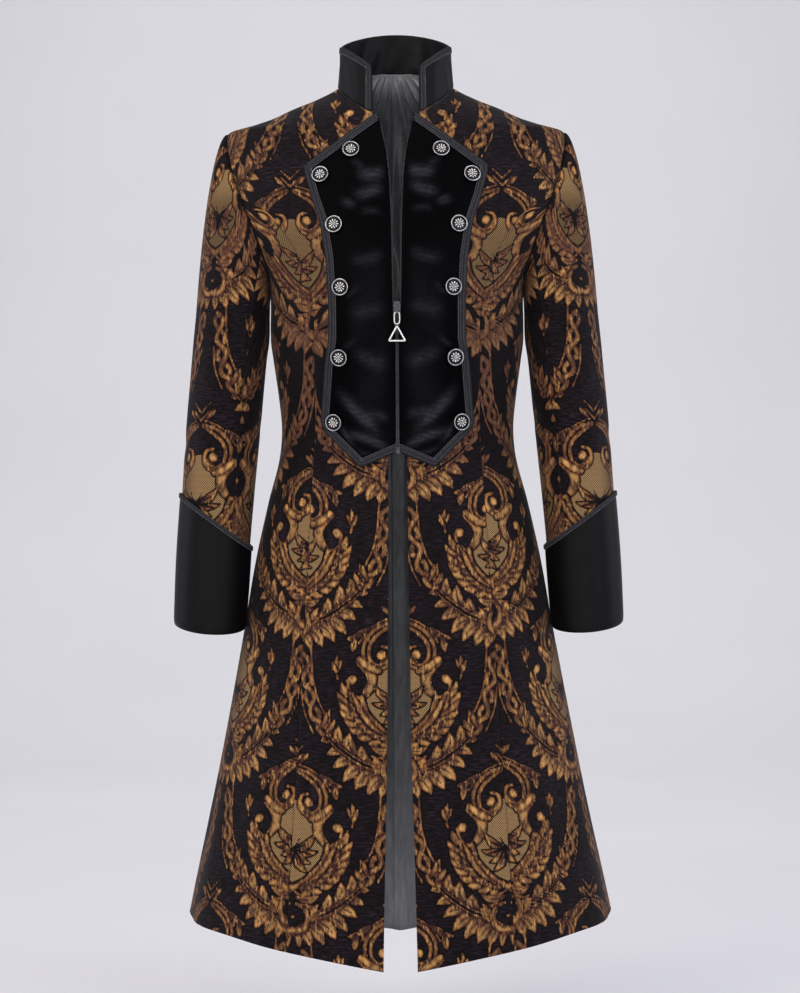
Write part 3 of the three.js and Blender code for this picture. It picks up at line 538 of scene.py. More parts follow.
def chartVolute():
    # the shield's crown: a pair of scrolls with round eyes
    scroll = [(4, 141), (13, 145), (23, 151), (31, 161), (33, 172), (30, 181), (22, 186), (13, 183), (8, 175),
              (10, 167), (17, 165)]
    addStroke("leaf", scroll, [2.6, 4.2, 5.0, 5.0, 4.6, 4.0, 3.4, 2.8, 2.0, 1.4], (0.5, 1.1))
    addStroke("leaf", [(17, 173), (18, 174)], [4.4], (0.8, 1.1))
    addStroke("cut", scroll[:8], [0.3, 0.8, 0.9, 0.9, 0.6])
    addStroke("line", [(6, 136), (18, 140), (31, 149), (40, 162)], [1.0])
    addLeaf((30, 147), (50, 165), 3.2, -0.1)
    addLeaf((38, 154), (54, 158), 2.8, 0)
    addLeaf((44, 157), (47, 171), 3.6, 0)


def chartShield():
    # a netted field between curled shoulders, closed by a border that runs to a point
    addStroke("net", [(0, 194), (0, 214)], [23, 33], smooth=False)
    addStroke("net", [(0, 216), (0, 240)], [33, 16], smooth=False)
    addStroke("net", [(0, 238), (0, 254)], [18, 3], smooth=False)
    shoulder = [(40, 180), (32, 187), (27, 197), (30, 208), (38, 217)]
    addStroke("leaf", shoulder, [4.4, 5.6, 5.0, 4.6, 3.0], (0.9, 0.4))
    addStroke("leaf", [(20, 190), (29, 186), (40, 178)], [3.0, 4.0, 3.2], (0.4, 1.1))
    border = [(37, 216), (34, 229), (26, 240), (14, 251), (0, 258)]
    addStroke("leaf", border, [2.8, 3.2, 3.4, 3.4, 3.4], (0.5, 0.7))
    addStroke("cut", [(35, 214), (31, 228), (23, 238), (11, 249), (0, 255)], [0.7])
    addStroke("leaf", [(47, 198), (48, 199)], [4.4], (0.9, 1.1))
    addStroke("line", [(52, 200), (50, 209), (43, 215), (36, 218)], [1.8, 1.5, 1.3, 1.6])
    for tip, half in (((15, 243), 4.4), ((24, 205), 4.0), ((27, 222), 3.4), ((19, 234), 3.4)):
        addLeaf((3, 220), tip, half, 0.14)
    for tip in ((9, 208), (17, 214), (22, 226), (12, 236), (2, 238)):
        addStroke("cut", [(2, 220), tip], [1.2, 0.4], smooth=False)


def chartFlank():
    # spiky acanthus round the foot of the shield
    tips = [(58, 200), (63, 210), (61, 219), (60, 229), (56, 238), (51, 247), (43, 255), (32, 262), (20, 266)]
    bases = [(46, 217), (45, 224), (44, 231), (41, 237), (37, 243), (32, 248), (26, 253), (18, 256),
             (11, 259)]
    for base, tip in zip(bases, tips):
        addLeaf(base, tip, 3.7, 0.16, (0.2, 1.15), vein=False)
    addStroke("weave", [(9, 259), (25, 251), (37, 239), (44, 225), (49, 212)], [2, 5.2, 6.4, 5.6, 2],
              (0.45, 0.9))
    addStroke("cut", [(12, 257), (27, 249), (38, 238), (44, 226), (48, 214)], [0.4, 0.9, 0.9, 0.5])
    for base, tip in zip(bases[1:8], tips[1:8]):
        middle = (np.array(base) + np.array(tip)) / 2
        addStroke("shade", [base, tuple(middle)], [1.5, 0.4], smooth=False)
    addStroke("line", [(64, 190), (62, 198)], [1.2], smooth=False)
    for tip in ((57, 178), (62, 173), (68, 179)):
        addLeaf((63, 192), tip, 2.3, 0.05, (0.8, 1.0), vein=False)


def chartFoot():
    # below the shield: two leaves, hatch marks and a curl
    addLeaf((5, 268), (29, 265), 3.8, 0.16)
    addLeaf((4, 274), (22, 276), 3.0, 0.1)
    addStroke("line", [(2, 262), (12, 266), (22, 259)], [1.1])
    for v in (281, 286, 291):
        addStroke("line", [(19, v), (23, v - 3), (27, v - 6)], [1.1], smooth=False)
    curl = [(13, 279), (16, 288), (13, 297), (4, 301), (-3, 297), (-4, 290), (1, 287)]
    addStroke("leaf", curl, [2.2, 3.0, 3.2, 2.8, 2.2, 1.4], (0.4, 1.1))


def drawChart():
    cell, wide, tall = chart["cell"], chart["halfRepeat"], chart["repeat"]
    us = np.arange(0, wide + cell, cell)
    vs = np.arange(0, tall, cell)
    gold = np.full((len(vs), len(us)), -9.0)
    net = np.full_like(gold, -9.0)
    tone = np.full_like(gold, 0.8)
    for mark in figure:
        for dropped in (False, True):
            for shift in (-tall, 0, tall):
                path = mark["path"].copy()
                if dropped:
                    path = np.stack([wide - path[:, 0], path[:, 1] + tall / 2], 1)
                path[:, 1] += shift
                room = mark["width"].max() + 3
                lowU, lowV = path.min(0) - room
                highU, highV = path.max(0) + room
                i = slice(max(int(lowV / cell), 0), max(int(highV / cell) + 1, 0))
                j = slice(max(int(lowU / cell), 0), max(int(highU / cell) + 1, 0))
                if gold[i, j].size == 0:
                    continue
                u, v = us[j][None, :], vs[i][:, None]
                best = np.full(gold[i, j].shape, -9.0)
                share = np.zeros_like(best)
                count = len(path) - 1
                for k in range(count):
                    stepU, stepV = path[k + 1] - path[k]
                    size = max(stepU**2 + stepV**2, 1e-9)
                    t = np.clip(((u - path[k, 0]) * stepU + (v - path[k, 1]) * stepV) / size, 0, 1)
                    away = np.hypot(u - path[k, 0] - t * stepU, v - path[k, 1] - t * stepV)
                    inside = mark["width"][k] + (mark["width"][k + 1] - mark["width"][k]) * t - away
                    nearer = inside > best
                    best = np.where(nearer, inside, best)
                    share = np.where(nearer, (k + t) / count, share)
                kind = mark["kind"]
                if kind in ("leaf", "weave"):
                    gap = chart["outline"]
                    gold[i, j] = np.maximum(np.minimum(gold[i, j], -best - gap), best)
                    toned = mark["tone"][0] + (mark["tone"][1] - mark["tone"][0]) * share
                    tone[i, j] = np.where(best > -0.6, toned, tone[i, j])
                    net[i, j] = np.minimum(net[i, j], -best - gap)
                elif kind == "line":
                    gold[i, j] = np.maximum(gold[i, j], best)
                    tone[i, j] = np.where(best > -0.8, 1.0, tone[i, j])
                elif kind == "cut":
                    gold[i, j] = np.minimum(gold[i, j], -best)
                    net[i, j] = np.minimum(net[i, j], -best)
                elif kind == "shade":
                    tone[i, j] = np.where(best > -0.3, 0.12, tone[i, j])
                elif kind == "net":
                    net[i, j] = np.maximum(net[i, j], best)
    return {"gold": gold, "net": net, "tone": tone}


for draw in (chartFan, chartChain, chartChevrons, chartVolute, chartShield, chartFlank, chartFoot):
    draw()
brocadeChart = drawChart()
print("brocade charted,", len(figure), "strokes")


def chartAt(layer, u, v):
    # u is millimetres from a pattern axis, v millimetres down from a fan's node
    wide, cell = chart["halfRepeat"], chart["cell"]
    u = np.mod(np.asarray(u) / chart["unit"], 2 * wide)
    u = wide - np.abs(u - wide)
    v = np.mod(np.asarray(v) / chart["unit"], chart["repeat"])
    table = brocadeChart[layer]
    x = np.clip(u / cell, 0, table.shape[1] - 1.001)
    y = v / cell
    j, i = x.astype(int), y.astype(int) % table.shape[0]
    fx, fy = x - j, y - np.floor(y)
    below = (i + 1) % table.shape[0]
    top = table[i, j] * (1 - fx) + table[i, j + 1] * fx
    return top * (1 - fy) + (table[below, j] * (1 - fx) + table[below, j + 1] * fx) * fy


def weaveBrocade(piece, picks, fromAxis, down, dullShade, across):
    # the figure's fields and the cloth map on the outer face; the wrong side stays plain ground
    pick = np.ix_(*picks)
    fields = {
        "figure": chartAt("gold", fromAxis, down) * chart["unit"], "tone": chartAt("tone", fromAxis, down),
        "net": chartAt("net", fromAxis, down) * chart["unit"], "dullShade": dullShade,
    }
    for name, values in fields.items():
        addField(piece, name, np.concatenate([values.ravel(), np.full(values[pick].size, -9.0)]))
    addClothMap(piece, *(np.concatenate([grid.ravel(), grid[pick].ravel()]) for grid in (across, -down)))


def colour(text):
    # an sRGB hex colour as linear light
    parts = [int(text[i:i + 2], 16) / 255 for i in (1, 3, 5)]
    return tuple(c / 12.92 if c <= 0.04045 else ((c + 0.055) / 1.055) ** 2.4 for c in parts) + (1.0,)


def addNode(tree, kind, settings=None, links=None):
    node = tree.nodes.new(kind)
    for name, value in (settings or {}).items():
        if isinstance(name, str) and hasattr(node, name):
            setattr(node, name, value)
        else:
            node.inputs[name].default_value = value
    for name, source in (links or {}).items():
        tree.links.new(source, node.inputs[name])
    return node


def newMaterial(name, settings):
    material = bpy.data.materials.new(name)
    material.use_nodes = True
    tree = material.node_tree
    shader = tree.nodes["Principled BSDF"]
    for socket, value in settings.items():
        shader.inputs[socket].default_value = value
    return material, tree, shader


def mixColour(tree, factor, first, second):
    node = addNode(tree, "ShaderNodeMix", {"data_type": "RGBA"}, {0: factor})
    for index, source in ((6, first), (7, second)):
        if isinstance(source, str):
            node.inputs[index].default_value = colour(source)
        else:
            tree.links.new(source, node.inputs[index])
    return node.outputs[2]


def mapRange(tree, value, low, high, start=0.0, end=1.0):
    settings = {"From Min": low, "From Max": high, "To Min": start, "To Max": end, "clamp": True}
    return addNode(tree, "ShaderNodeMapRange", settings, {"Value": value}).outputs[0]


def mathOf(tree, operation, first, second):
    node = addNode(tree, "ShaderNodeMath", {"operation": operation})
    for index, source in enumerate((first, second)):
        if isinstance(source, (int, float)):
            node.inputs[index].default_value = source
        else:
            tree.links.new(source, node.inputs[index])
    return node.outputs[0]


def noiseOf(tree, where, scale, stretch=(1, 1, 1), detail=2.0):
    mapping = addNode(tree, "ShaderNodeMapping", {"Scale": stretch}, {"Vector": where})
    settings = {"Scale": scale, "Detail": detail, "Roughness": 0.6}
    return addNode(tree, "ShaderNodeTexNoise", settings, {"Vector": mapping.outputs[0]}).outputs["Fac"]


def leanedMap(tree, place, degrees):
    turn = {"Rotation": (0, 0, math.radians(degrees))}
    return addNode(tree, "ShaderNodeMapping", turn, {"Vector": place}).outputs[0]


# Woven brocade: gold weft figures over a near-black ground
brocade = {
    "edge": "#43271d", "low": "#7a502e", "gold": "#ab7640", "bright": "#dfab68", "shadow": "#2b161d",
    "outline": "#090506", "ground": "#090608", "slub": "#30232c", "net": "#9c7d55", "netLine": "#150d0d",
    # dullShade: the figure's painted shade colour where it turns from the lamps
    "dullShade": "#54362c", "dullShadeShare": 0.74, "roughness": 0.75, "specular": 0.08,
    "fineJag": {"scale": 640, "size": 1.2}, "broadJag": {"scale": 210, "size": 2.6},
    "slubScale": 380, "driftScale": 26, "speckleScale": 560, "wornScale": 90, "glintScale": 150,
    "weaveScale": 900, "twillScale": 116.0, "twillLean": 28, "netScale": 142.0, "netLean": 45,
}


def makeBrocade():
    material, tree, shader = newMaterial("brocade", {
        "Roughness": brocade["roughness"], "Specular IOR Level": brocade["specular"],
        "Sheen Weight": 0.04, "Sheen Roughness": 0.5,
    })
    fields = {name: addNode(tree, "ShaderNodeAttribute", {"attribute_name": name}).outputs["Fac"]
              for name in ("figure", "tone", "net", "dullShade")}
    place = addNode(tree, "ShaderNodeUVMap", {"uv_map": "clothMap"}).outputs[0]
    # the figure's edges are stepped and feathered by the weave
    jags = []
    for name, stretch in (("broadJag", (1, 0.6, 1)), ("fineJag", (1, 1, 1))):
        rough = mathOf(tree, "SUBTRACT", noiseOf(tree, place, brocade[name]["scale"], stretch), 0.5)
        jags.append(mathOf(tree, "MULTIPLY", rough, brocade[name]["size"]))
    jag = mathOf(tree, "ADD", *jags)
    depth = mathOf(tree, "ADD", fields["figure"], jag)
    ramp = addNode(tree, "ShaderNodeValToRGB", {}, {"Fac": mapRange(tree, depth, 0, 3.2)})
    ramp.color_ramp.elements[0].color = colour(brocade["edge"])
    ramp.color_ramp.elements[1].color = colour(brocade["bright"])
    for position, name in ((0.2, "low"), (0.5, "gold")):
        ramp.color_ramp.elements.new(position).color = colour(brocade[name])
    # lobes darken toward their bases, and the gold is speckled by its weave
    toneShade = mapRange(tree, fields["tone"], 0.15, 1.0, 0.95, 0.0)
    gold = mixColour(tree, toneShade, ramp.outputs["Color"], brocade["shadow"])
    speckle = mapRange(tree, noiseOf(tree, place, brocade["speckleScale"]), 0.42, 0.66, 0.0, 0.42)
    gold = mixColour(tree, speckle, gold, brocade["edge"])
    # broad worn patches, warmer and darker
    worn = mapRange(tree, noiseOf(tree, place, brocade["wornScale"], (1.5, 0.7, 1)), 0.44, 0.6, 0.0, 0.74)
    gold = mixColour(tree, worn, gold, brocade["shadow"])
    # twill lines, drawn at 2.7 mm so that they show
    leaning = leanedMap(tree, place, brocade["twillLean"])
    twill = addNode(tree, "ShaderNodeTexWave", {
        "bands_direction": "Y", "Scale": brocade["twillScale"], "Distortion": 1.2}, {"Vector": leaning})
    gold = mixColour(tree, mapRange(tree, twill.outputs["Fac"], 0.35, 0.9, 0.0, 0.32), gold, brocade["edge"])
    glint = mapRange(tree, noiseOf(tree, place, brocade["glintScale"], (1.8, 0.6, 1)), 0.55, 0.7, 0.0, 0.5)
    gold = mixColour(tree, glint, gold, brocade["bright"])
    # the ground's slubs run across the cloth
    slub = mapRange(tree, noiseOf(tree, place, brocade["slubScale"], (0.22, 1.3, 1)), 0.44, 0.72)
    drift = mapRange(tree, noiseOf(tree, place, brocade["driftScale"]), 0.35, 0.65, 0.35, 1.0)
    ground = mixColour(tree, mathOf(tree, "MULTIPLY", slub, drift), brocade["ground"], brocade["slub"])
    # the net is crossed threads, drawn at 2.2 mm so that they show
    turned = leanedMap(tree, place, brocade["netLean"])
    lines = []
    for direction in ("X", "Y"):
        wave = addNode(tree, "ShaderNodeTexWave", {
            "bands_direction": direction, "Scale": brocade["netScale"]}, {"Vector": turned})
        lines.append(mapRange(tree, wave.outputs["Fac"], 0.5, 0.85))
    crossed = mathOf(tree, "MAXIMUM", lines[0], lines[1])
    netColour = mixColour(tree, crossed, brocade["netLine"], brocade["net"])
    netMask = mapRange(tree, mathOf(tree, "ADD", fields["net"], jag), -0.3, 0.3)
    base = mixColour(tree, netMask, ground, netColour)
    outlineMask = mapRange(tree, depth, -2.4, -1.2)
    base = mixColour(tree, mathOf(tree, "MULTIPLY", outlineMask, 0.85), base, brocade["outline"])
    goldMask = mapRange(tree, depth, -0.22, 0.22)
    whole = mixColour(tree, goldMask, base, gold)
    # painted shade: the figure is mixed toward a dull brown by the dullShade field, standing in for the
    # gold's sheen lost where the cloth turns from the lamps
    whole = mixColour(tree, mathOf(tree, "MULTIPLY", fields["dullShade"], brocade["dullShadeShare"]), whole,
                      mixColour(tree, goldMask, brocade["ground"], brocade["dullShade"]))
    tree.links.new(whole, shader.inputs["Base Color"])
    weave = noiseOf(tree, place, brocade["weaveScale"], (0.5, 1.3, 1))
    height = mathOf(tree, "ADD", mathOf(tree, "MULTIPLY", goldMask, 0.6),
                    mathOf(tree, "MULTIPLY", weave, 0.5))
    bump = addNode(tree, "ShaderNodeBump", {"Strength": 0.35, "Distance": 0.0006}, {"Height": height})
    tree.links.new(bump.outputs[0], shader.inputs["Normal"])
    return material


def makeCloth(name, dark, light, settings, scale, stretch, bumpSize):
    # a plain cloth or metal whose colour wanders a little between two tones
    material, tree, shader = newMaterial(name, settings)
    place = addNode(tree, "ShaderNodeTexCoord").outputs["Object"]
    grain = noiseOf(tree, place, scale, stretch, 3.0)
    mixed = mixColour(tree, mapRange(tree, grain, 0.35, 0.7), dark, light)
    tree.links.new(mixed, shader.inputs["Base Color"])
    bump = addNode(tree, "ShaderNodeBump", {"Strength": 0.25, "Distance": bumpSize}, {"Height": grain})
    tree.links.new(bump.outputs[0], shader.inputs["Normal"])
    return material


def makeMetal(name, dark, light, roughness, bumpSize):
    return makeCloth(name, dark, light, {"Roughness": roughness, "Metallic": 1.0}, 300, (1, 1, 1), bumpSize)


brocadeCloth = makeBrocade()
# silk velvet: a deep pile with a cool sheen at its edges
velvetCloth = makeCloth("velvet", "#030304", "#08080b", {
    "Roughness": 0.5, "Specular IOR Level": 0.13, "Sheen Weight": 0.05, "Sheen Roughness": 0.3,
    "Sheen Tint": colour("#9a9aac")}, 420, (1, 1, 0.6), 0.0004)
# the plastron's pile lies flatter: blacker, with a cool shine painted over its folds, a painted highlight
plastronShine = {"dark": "#020203", "shine": "#36363d", "roughness": 0.5, "specular": 0.025}


def makeShinePaintedVelvet():
    material, tree, shader = newMaterial("velvet of the plastron", {
        "Roughness": plastronShine["roughness"], "Specular IOR Level": plastronShine["specular"]})
    # plastronShine is the painted highlight: how far the black is mixed toward the shine colour
    shine = addNode(tree, "ShaderNodeAttribute", {"attribute_name": "plastronShine"}).outputs["Fac"]
    place = addNode(tree, "ShaderNodeTexCoord").outputs["Object"]
    pile = mapRange(tree, noiseOf(tree, place, 160), 0.3, 0.7, 0.55, 1.0)
    mixed = mixColour(tree, mathOf(tree, "MULTIPLY", shine, pile), plastronShine["dark"], plastronShine["shine"])
    tree.links.new(mixed, shader.inputs["Base Color"])
    return material


plastronVelvet = makeShinePaintedVelvet()
# satin lining, black with a soft shine; its colour is painted mid grey all over, a painted sheen
satinCloth = makeCloth("satin", "#5e6064", "#787a7e", {
    "Roughness": 0.34, "Specular IOR Level": 0.8}, 160, (1, 1, 0.15), 0.0002)
# flat woven braid
braidCloth = makeCloth("braid", "#17171a", "#252529", {
    "Roughness": 0.8, "Specular IOR Level": 0.15}, 700, (1, 1, 1), 0.0004)
# the braid's raised chevrons and its stitches
cordCloth = makeCloth("braid cord", "#2c2c31", "#4c4c53", {
    "Roughness": 0.65, "Specular IOR Level": 0.25}, 500, (1, 1, 1), 0.0002)
stitchThread = makeCloth("stitching thread", "#5c5c63", "#7e7e86", {
    "Roughness": 0.6, "Specular IOR Level": 0.3}, 500, (1, 1, 1), 0.0001)
# twill zip tape
tapeCloth = makeCloth("zip tape", "#4c4d50", "#5c5d61", {
    "Roughness": 0.75, "Specular IOR Level": 0.2}, 600, (1, 1, 1), 0.0003)
# polished silver, its blackened ground, and the zip's duller metal
silver = makeMetal("silver", "#a5a4a8", "#c6c5c8", 0.3, 0.00005)
darkSilver = makeMetal("silver in shade", "#1c1b1e", "#38373b", 0.45, 0.00005)
brightSilver = makeMetal("bright silver", "#d6d3ce", "#ecebe8", 0.32, 0.00003)
toothMetal = makeMetal("zip metal", "#3d3c40", "#5c5b60", 0.42, 0.00003)
print("materials made")


def makeRepeater():
    # copies one small part onto points, each turned by the point's own two directions
    tree = bpy.data.node_groups.new("repeat along", "GeometryNodeTree")
    for name, kind in (("Points", "Geometry"), ("Part", "Object"), ("Material", "Material"),
                       ("Jitter", "Float"), ("Seed", "Int")):
        tree.interface.new_socket(name, in_out="INPUT", socket_type="NodeSocket" + kind)
    tree.interface.new_socket("Copies", in_out="OUTPUT", socket_type="NodeSocketGeometry")
    given = addNode(tree, "NodeGroupInput").outputs
    outward, along = (addNode(tree, "GeometryNodeInputNamedAttribute", {
        "data_type": "FLOAT_VECTOR", "Name": name}).outputs[0] for name in ("outward", "along"))
    turn = addNode(tree, "FunctionNodeAxesToRotation", {"primary_axis": "Z", "secondary_axis": "X"},
                   {0: outward, 1: along})
    low = mathOf(tree, "SUBTRACT", 1.0, given["Jitter"])
    high = mathOf(tree, "ADD", 1.0, given["Jitter"])
    size = addNode(tree, "FunctionNodeRandomValue", {"data_type": "FLOAT"},
                   {"Min": low, "Max": high, "Seed": given["Seed"]})
    part = addNode(tree, "GeometryNodeObjectInfo", {}, {"Object": given["Part"]})
    copies = addNode(tree, "GeometryNodeInstanceOnPoints", {}, {
        "Points": given["Points"], "Instance": part.outputs["Geometry"], "Rotation": turn.outputs[0],
        "Scale": size.outputs[1]})
    real = addNode(tree, "GeometryNodeRealizeInstances", {}, {0: copies.outputs[0]})
    painted = addNode(tree, "GeometryNodeSetMaterial", {},
                      {"Geometry": real.outputs[0], "Material": given["Material"]})
    addNode(tree, "NodeGroupOutput", {}, {0: painted.outputs[0]})
    return tree


repeater = makeRepeater()
repeaterSockets = {item.name: item.identifier for item in repeater.interface.items_tree
                   if item.in_out == "INPUT"}


def repeatPart(name, places, outward, along, part, material, slot, jitter=0.0, seed=7):
    # a copy of a part at each place, baked into one piece of the coat
    places = np.asarray(places, float).reshape(-1, 3)
    points = bpy.data.meshes.new(name + "Points")
    points.from_pydata(places * mm, [], [])
    for label, vectors in (("outward", outward), ("along", along)):
        field = points.attributes.new(label, "FLOAT_VECTOR", "POINT")
        field.data.foreach_set("vector", np.asarray(vectors, np.float32).reshape(-1))
    holder = bpy.data.objects.new(name + "Points", points)
    bpy.context.scene.collection.objects.link(holder)
    modifier = holder.modifiers.new("repeat", "NODES")
    modifier.node_group = repeater
    for socket, value in (("Part", part), ("Material", material), ("Jitter", jitter), ("Seed", seed)):
        modifier[repeaterSockets[socket]] = value
    bpy.context.view_layer.update()
    seen = holder.evaluated_get(bpy.context.evaluated_depsgraph_get())
    mesh = bpy.data.meshes.new_from_object(seen)
    mesh.name = name
    holder.modifiers.remove(modifier)
    bpy.data.objects.remove(holder)
    piece = bpy.data.objects.new(name, mesh)
    bpy.context.scene.collection.objects.link(piece)
    for layer in list(mesh.attributes):
        if layer.name in ("outward", "along"):
            mesh.attributes.remove(layer)
    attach(piece, "coat")
    return piece


def latheMesh(profile, sides):
    # turns a profile of (radius, height) rows about z; the first and last rows lie on the axis
    angles = np.linspace(0, 2 * math.pi, sides, endpoint=False)
    middle = profile[1:-1]
    points = [(0, 0, profile[0][1])]
    points += [(r * math.cos(a), r * math.sin(a), h) for r, h in middle for a in angles]
    points.append((0, 0, profile[-1][1]))
    last = len(points) - 1
    faces = []
    for k in range(sides):
        after = (k + 1) % sides
        faces.append((0, 1 + after, 1 + k))
        for ring in range(len(middle) - 1):
            a, b = 1 + ring * sides + k, 1 + ring * sides + after
            faces.append((a, b, b + sides, a + sides))
        low = 1 + (len(middle) - 1) * sides
        faces.append((low + k, low + after, last))
    return np.array(points, float), faces


def beadPart(radius, height, sides):
    # a small domed bead, standing on z = 0
    return latheMesh([(0, 0), (radius * 0.8, 0), (radius, height * 0.3), (radius * 0.72, height * 0.78),
                      (0, height)], sides)


def barPart(length, width, height, turn=0.0):
    # a small rounded bar along x
    half, side = length / 2, width / 2
    ends = ((-half, 0.45), (-half * 0.7, 1), (half * 0.7, 1), (half, 0.45))
    arch = ((-side, 0), (-side * 0.7, height * 0.75), (0, height), (side * 0.7, height * 0.75), (side, 0))
    points = np.array([(x, y * share, z * share) for x, share in ends for y, z in arch], float)
    spin = np.array([[math.cos(turn), -math.sin(turn), 0], [math.sin(turn), math.cos(turn), 0], [0, 0, 1]])
    points = points @ spin.T
    faces = [(5 * r + c, 5 * (r + 1) + c, 5 * (r + 1) + (c + 1) % 5, 5 * r + (c + 1) % 5)
             for r in range(3) for c in range(5)]
    faces += [(0, 1, 2, 3, 4), (19, 18, 17, 16, 15)]
    return points, faces


def partObject(name, meshes):
    # joins a few meshes into one object
    points, faces, start = [], [], 0
    for partPoints, partFaces in meshes:
        points.append(partPoints)
        faces += [tuple(i + start for i in face) for face in partFaces]
        start += len(partPoints)
    return objectFrom(name, np.concatenate(points), faces)


# Body panels: how finely each is meshed, and where the brocade's axis runs on it
panels = {
    "front": {"rows": 660, "columns": 88, "top": -1.5},
    "side_front": {"rows": 430, "columns": 74, "top": -153},
    "side_back": {"rows": 250, "columns": 42, "top": -193.5},
    "back": {"rows": 310, "columns": 50, "top": 25.9},
}
pattern = {
    "node": -712.6, "halfRepeat": chart["unit"] * chart["halfRepeat"], "sideRise": 9,
    "frontShift": {"z": [-1100, -720, -585, -400, -215, -60], "shift": [0, 2, 8, 22, 36, 38]},
    "sideLoss": {"z": [-1100, -945, -720, -585, -400, -215], "loss": [10, 13, 19, 28, 30, 33]},
    "backLoss": {"z": [-1100, -720, -400, -215], "loss": [8, 16, 26, 30]},
}
seamRoll = {"depth": 1.3, "width": 2.5}
tuck = {"turn": 0.8, "depth": 2.2}
panelEdges = {
    "front": (openingTheta, frontSeamTheta),
    "side_front": (frontSeamTheta, lambda level: outerTheta(level, True)),
    "side_back": (lambda level: outerTheta(level, False), backSeamTheta),
    "back": (backInnerTheta, lambda level: np.full(np.shape(level), math.pi)),
}


def panelTheta(name, share, level):
    # trimmed by half a seam gap on each side
    inner, outer = panelEdges[name]
    start, end = inner(level), outer(level)
    away = np.linalg.norm(bodyPoint(start + 0.01, level) - bodyPoint(start - 0.01, level), axis=-1) / 0.02
    trim = form["seamGap"] / 2 / np.maximum(away, 1)
    turn = np.sign(end - start)
    start, end = start + trim * turn, end - trim * turn
    return start + (end - start) * share


def panelLevels(name, top, shares, rows):
    # heights from a panel's top to its hem, an even distance apart on the cloth
    levelAt = lambda share: top + (form["hem"] - top) * share
    steps = evenSteps(lambda s, t: bodyPoint(panelTheta(name, t, levelAt(s)), levelAt(s)), shares, rows)
    return levelAt(steps)[:, None]


def patternHeight(level):
    # the length of cloth below each height, along the front's own slope
    heights = np.linspace(30, -1160, 1200)
    depth = curveAt(bodyRows, "front", heights)
    run = np.concatenate([[0], np.cumsum(np.hypot(np.diff(heights), np.diff(depth)))])
    atNode = np.interp(-pattern["node"], -heights, run)
    return np.interp(-level, -heights, run) - atNode


def arcFrom(theta, level, start):
    # the distance round the body from one angle to each other one
    steps = np.linspace(0, 1, 60)[:, None, None]
    rings = bodyPoint(start + (theta - start) * steps, np.broadcast_to(level, theta.shape))
    return np.linalg.norm(np.diff(rings, axis=0), axis=-1).sum(0)


def buildPanel(name, side):
    spec = panels[name]
    level = panelLevels(name, spec["top"], (0.0, 0.5, 1.0), spec["rows"])
    across = np.linspace(0, 1, spec["columns"])[None, :]
    theta = panelTheta(name, across, level)
    tucked = name == "side_front"
    if tucked:
        # its seam allowance runs on under the side back
        theta = np.concatenate([theta, theta[:, -1:] + math.radians(tuck["turn"])], 1)
    level = np.broadcast_to(level, theta.shape)
    flat = bodyPoint(theta, level)
    arcs = runAlong(flat, 1)
    seamAt = arcs[:, -2:-1] if tucked else arcs[:, -1:]
    toEdge = np.minimum(arcs, np.abs(seamAt - arcs))
    folds = bodyFolds if side > 0 else leftFolds
    lift = foldHeight(folds, np.degrees(theta), level)
    lift *= hemEase(level)
    if name == "front":
        lift *= smoothStep(toEdge, 0, 12) * 0.6 + 0.4
    lift -= seamRoll["depth"] * np.exp(-(toEdge / seamRoll["width"]) ** 2)
    if tucked:
        lift[:, -1] -= tuck["depth"]
    outer = onBody(theta, level, lift)
    inner = onBody(theta, level, lift - wall["cloth"])
    down = patternHeight(level) + (level - flat[..., 2])
    if name == "front":
        shift = lineAt(pattern["frontShift"], "shift", level)
        fromAxis = pattern["halfRepeat"] + shift - arcFrom(theta, level, 0)
    elif name == "side_front":
        fromAxis = lineAt(pattern["sideLoss"], "loss", level) + arcs
        down = down + pattern["sideRise"]
    elif name == "side_back":
        fromAxis = lineAt(pattern["backLoss"], "loss", level) + (arcs[:, -1:] - arcs)
        down = down + pattern["sideRise"]
    else:
        fromAxis = arcs[:, -1:] - arcs
    # painted shade: the figure is painted dull where the cloth turns away from the lamps, in place of the
    # sheen the gold loses there, and in bands at the waist and chest
    degrees = np.degrees(theta)
    flank = plateau(degrees, 62, 86, 112, 150) * 0.85
    shoulder = smoothStep(level, -150, -70) * smoothStep(np.abs(flat[..., 0]), 150, 205) * 0.6
    waist = plateau(level, -560, -470, -340, -280) * smoothStep(degrees, 14, 34) * 0.85
    chest = plateau(level, -330, -280, -215, -160) * 0.5
    dullShade = np.maximum.reduce([flank, shoulder, waist, chest])
    label, mirror = sideName(side), np.array([side, 1, 1])
    piece, *picks = shellObject(f"{name}_{label}_cloth", outer * mirror, inner * mirror, 4)
    weaveBrocade(piece, picks, fromAxis, down, dullShade, fromAxis * side)
    finishPiece(piece, brocadeCloth, "coat", "brocade", f"{name}_{label}")
    declareSheet(piece, outer)


for panelName in panels:
    for side in (1, -1):
        buildPanel(panelName, side)
print("body panels built")

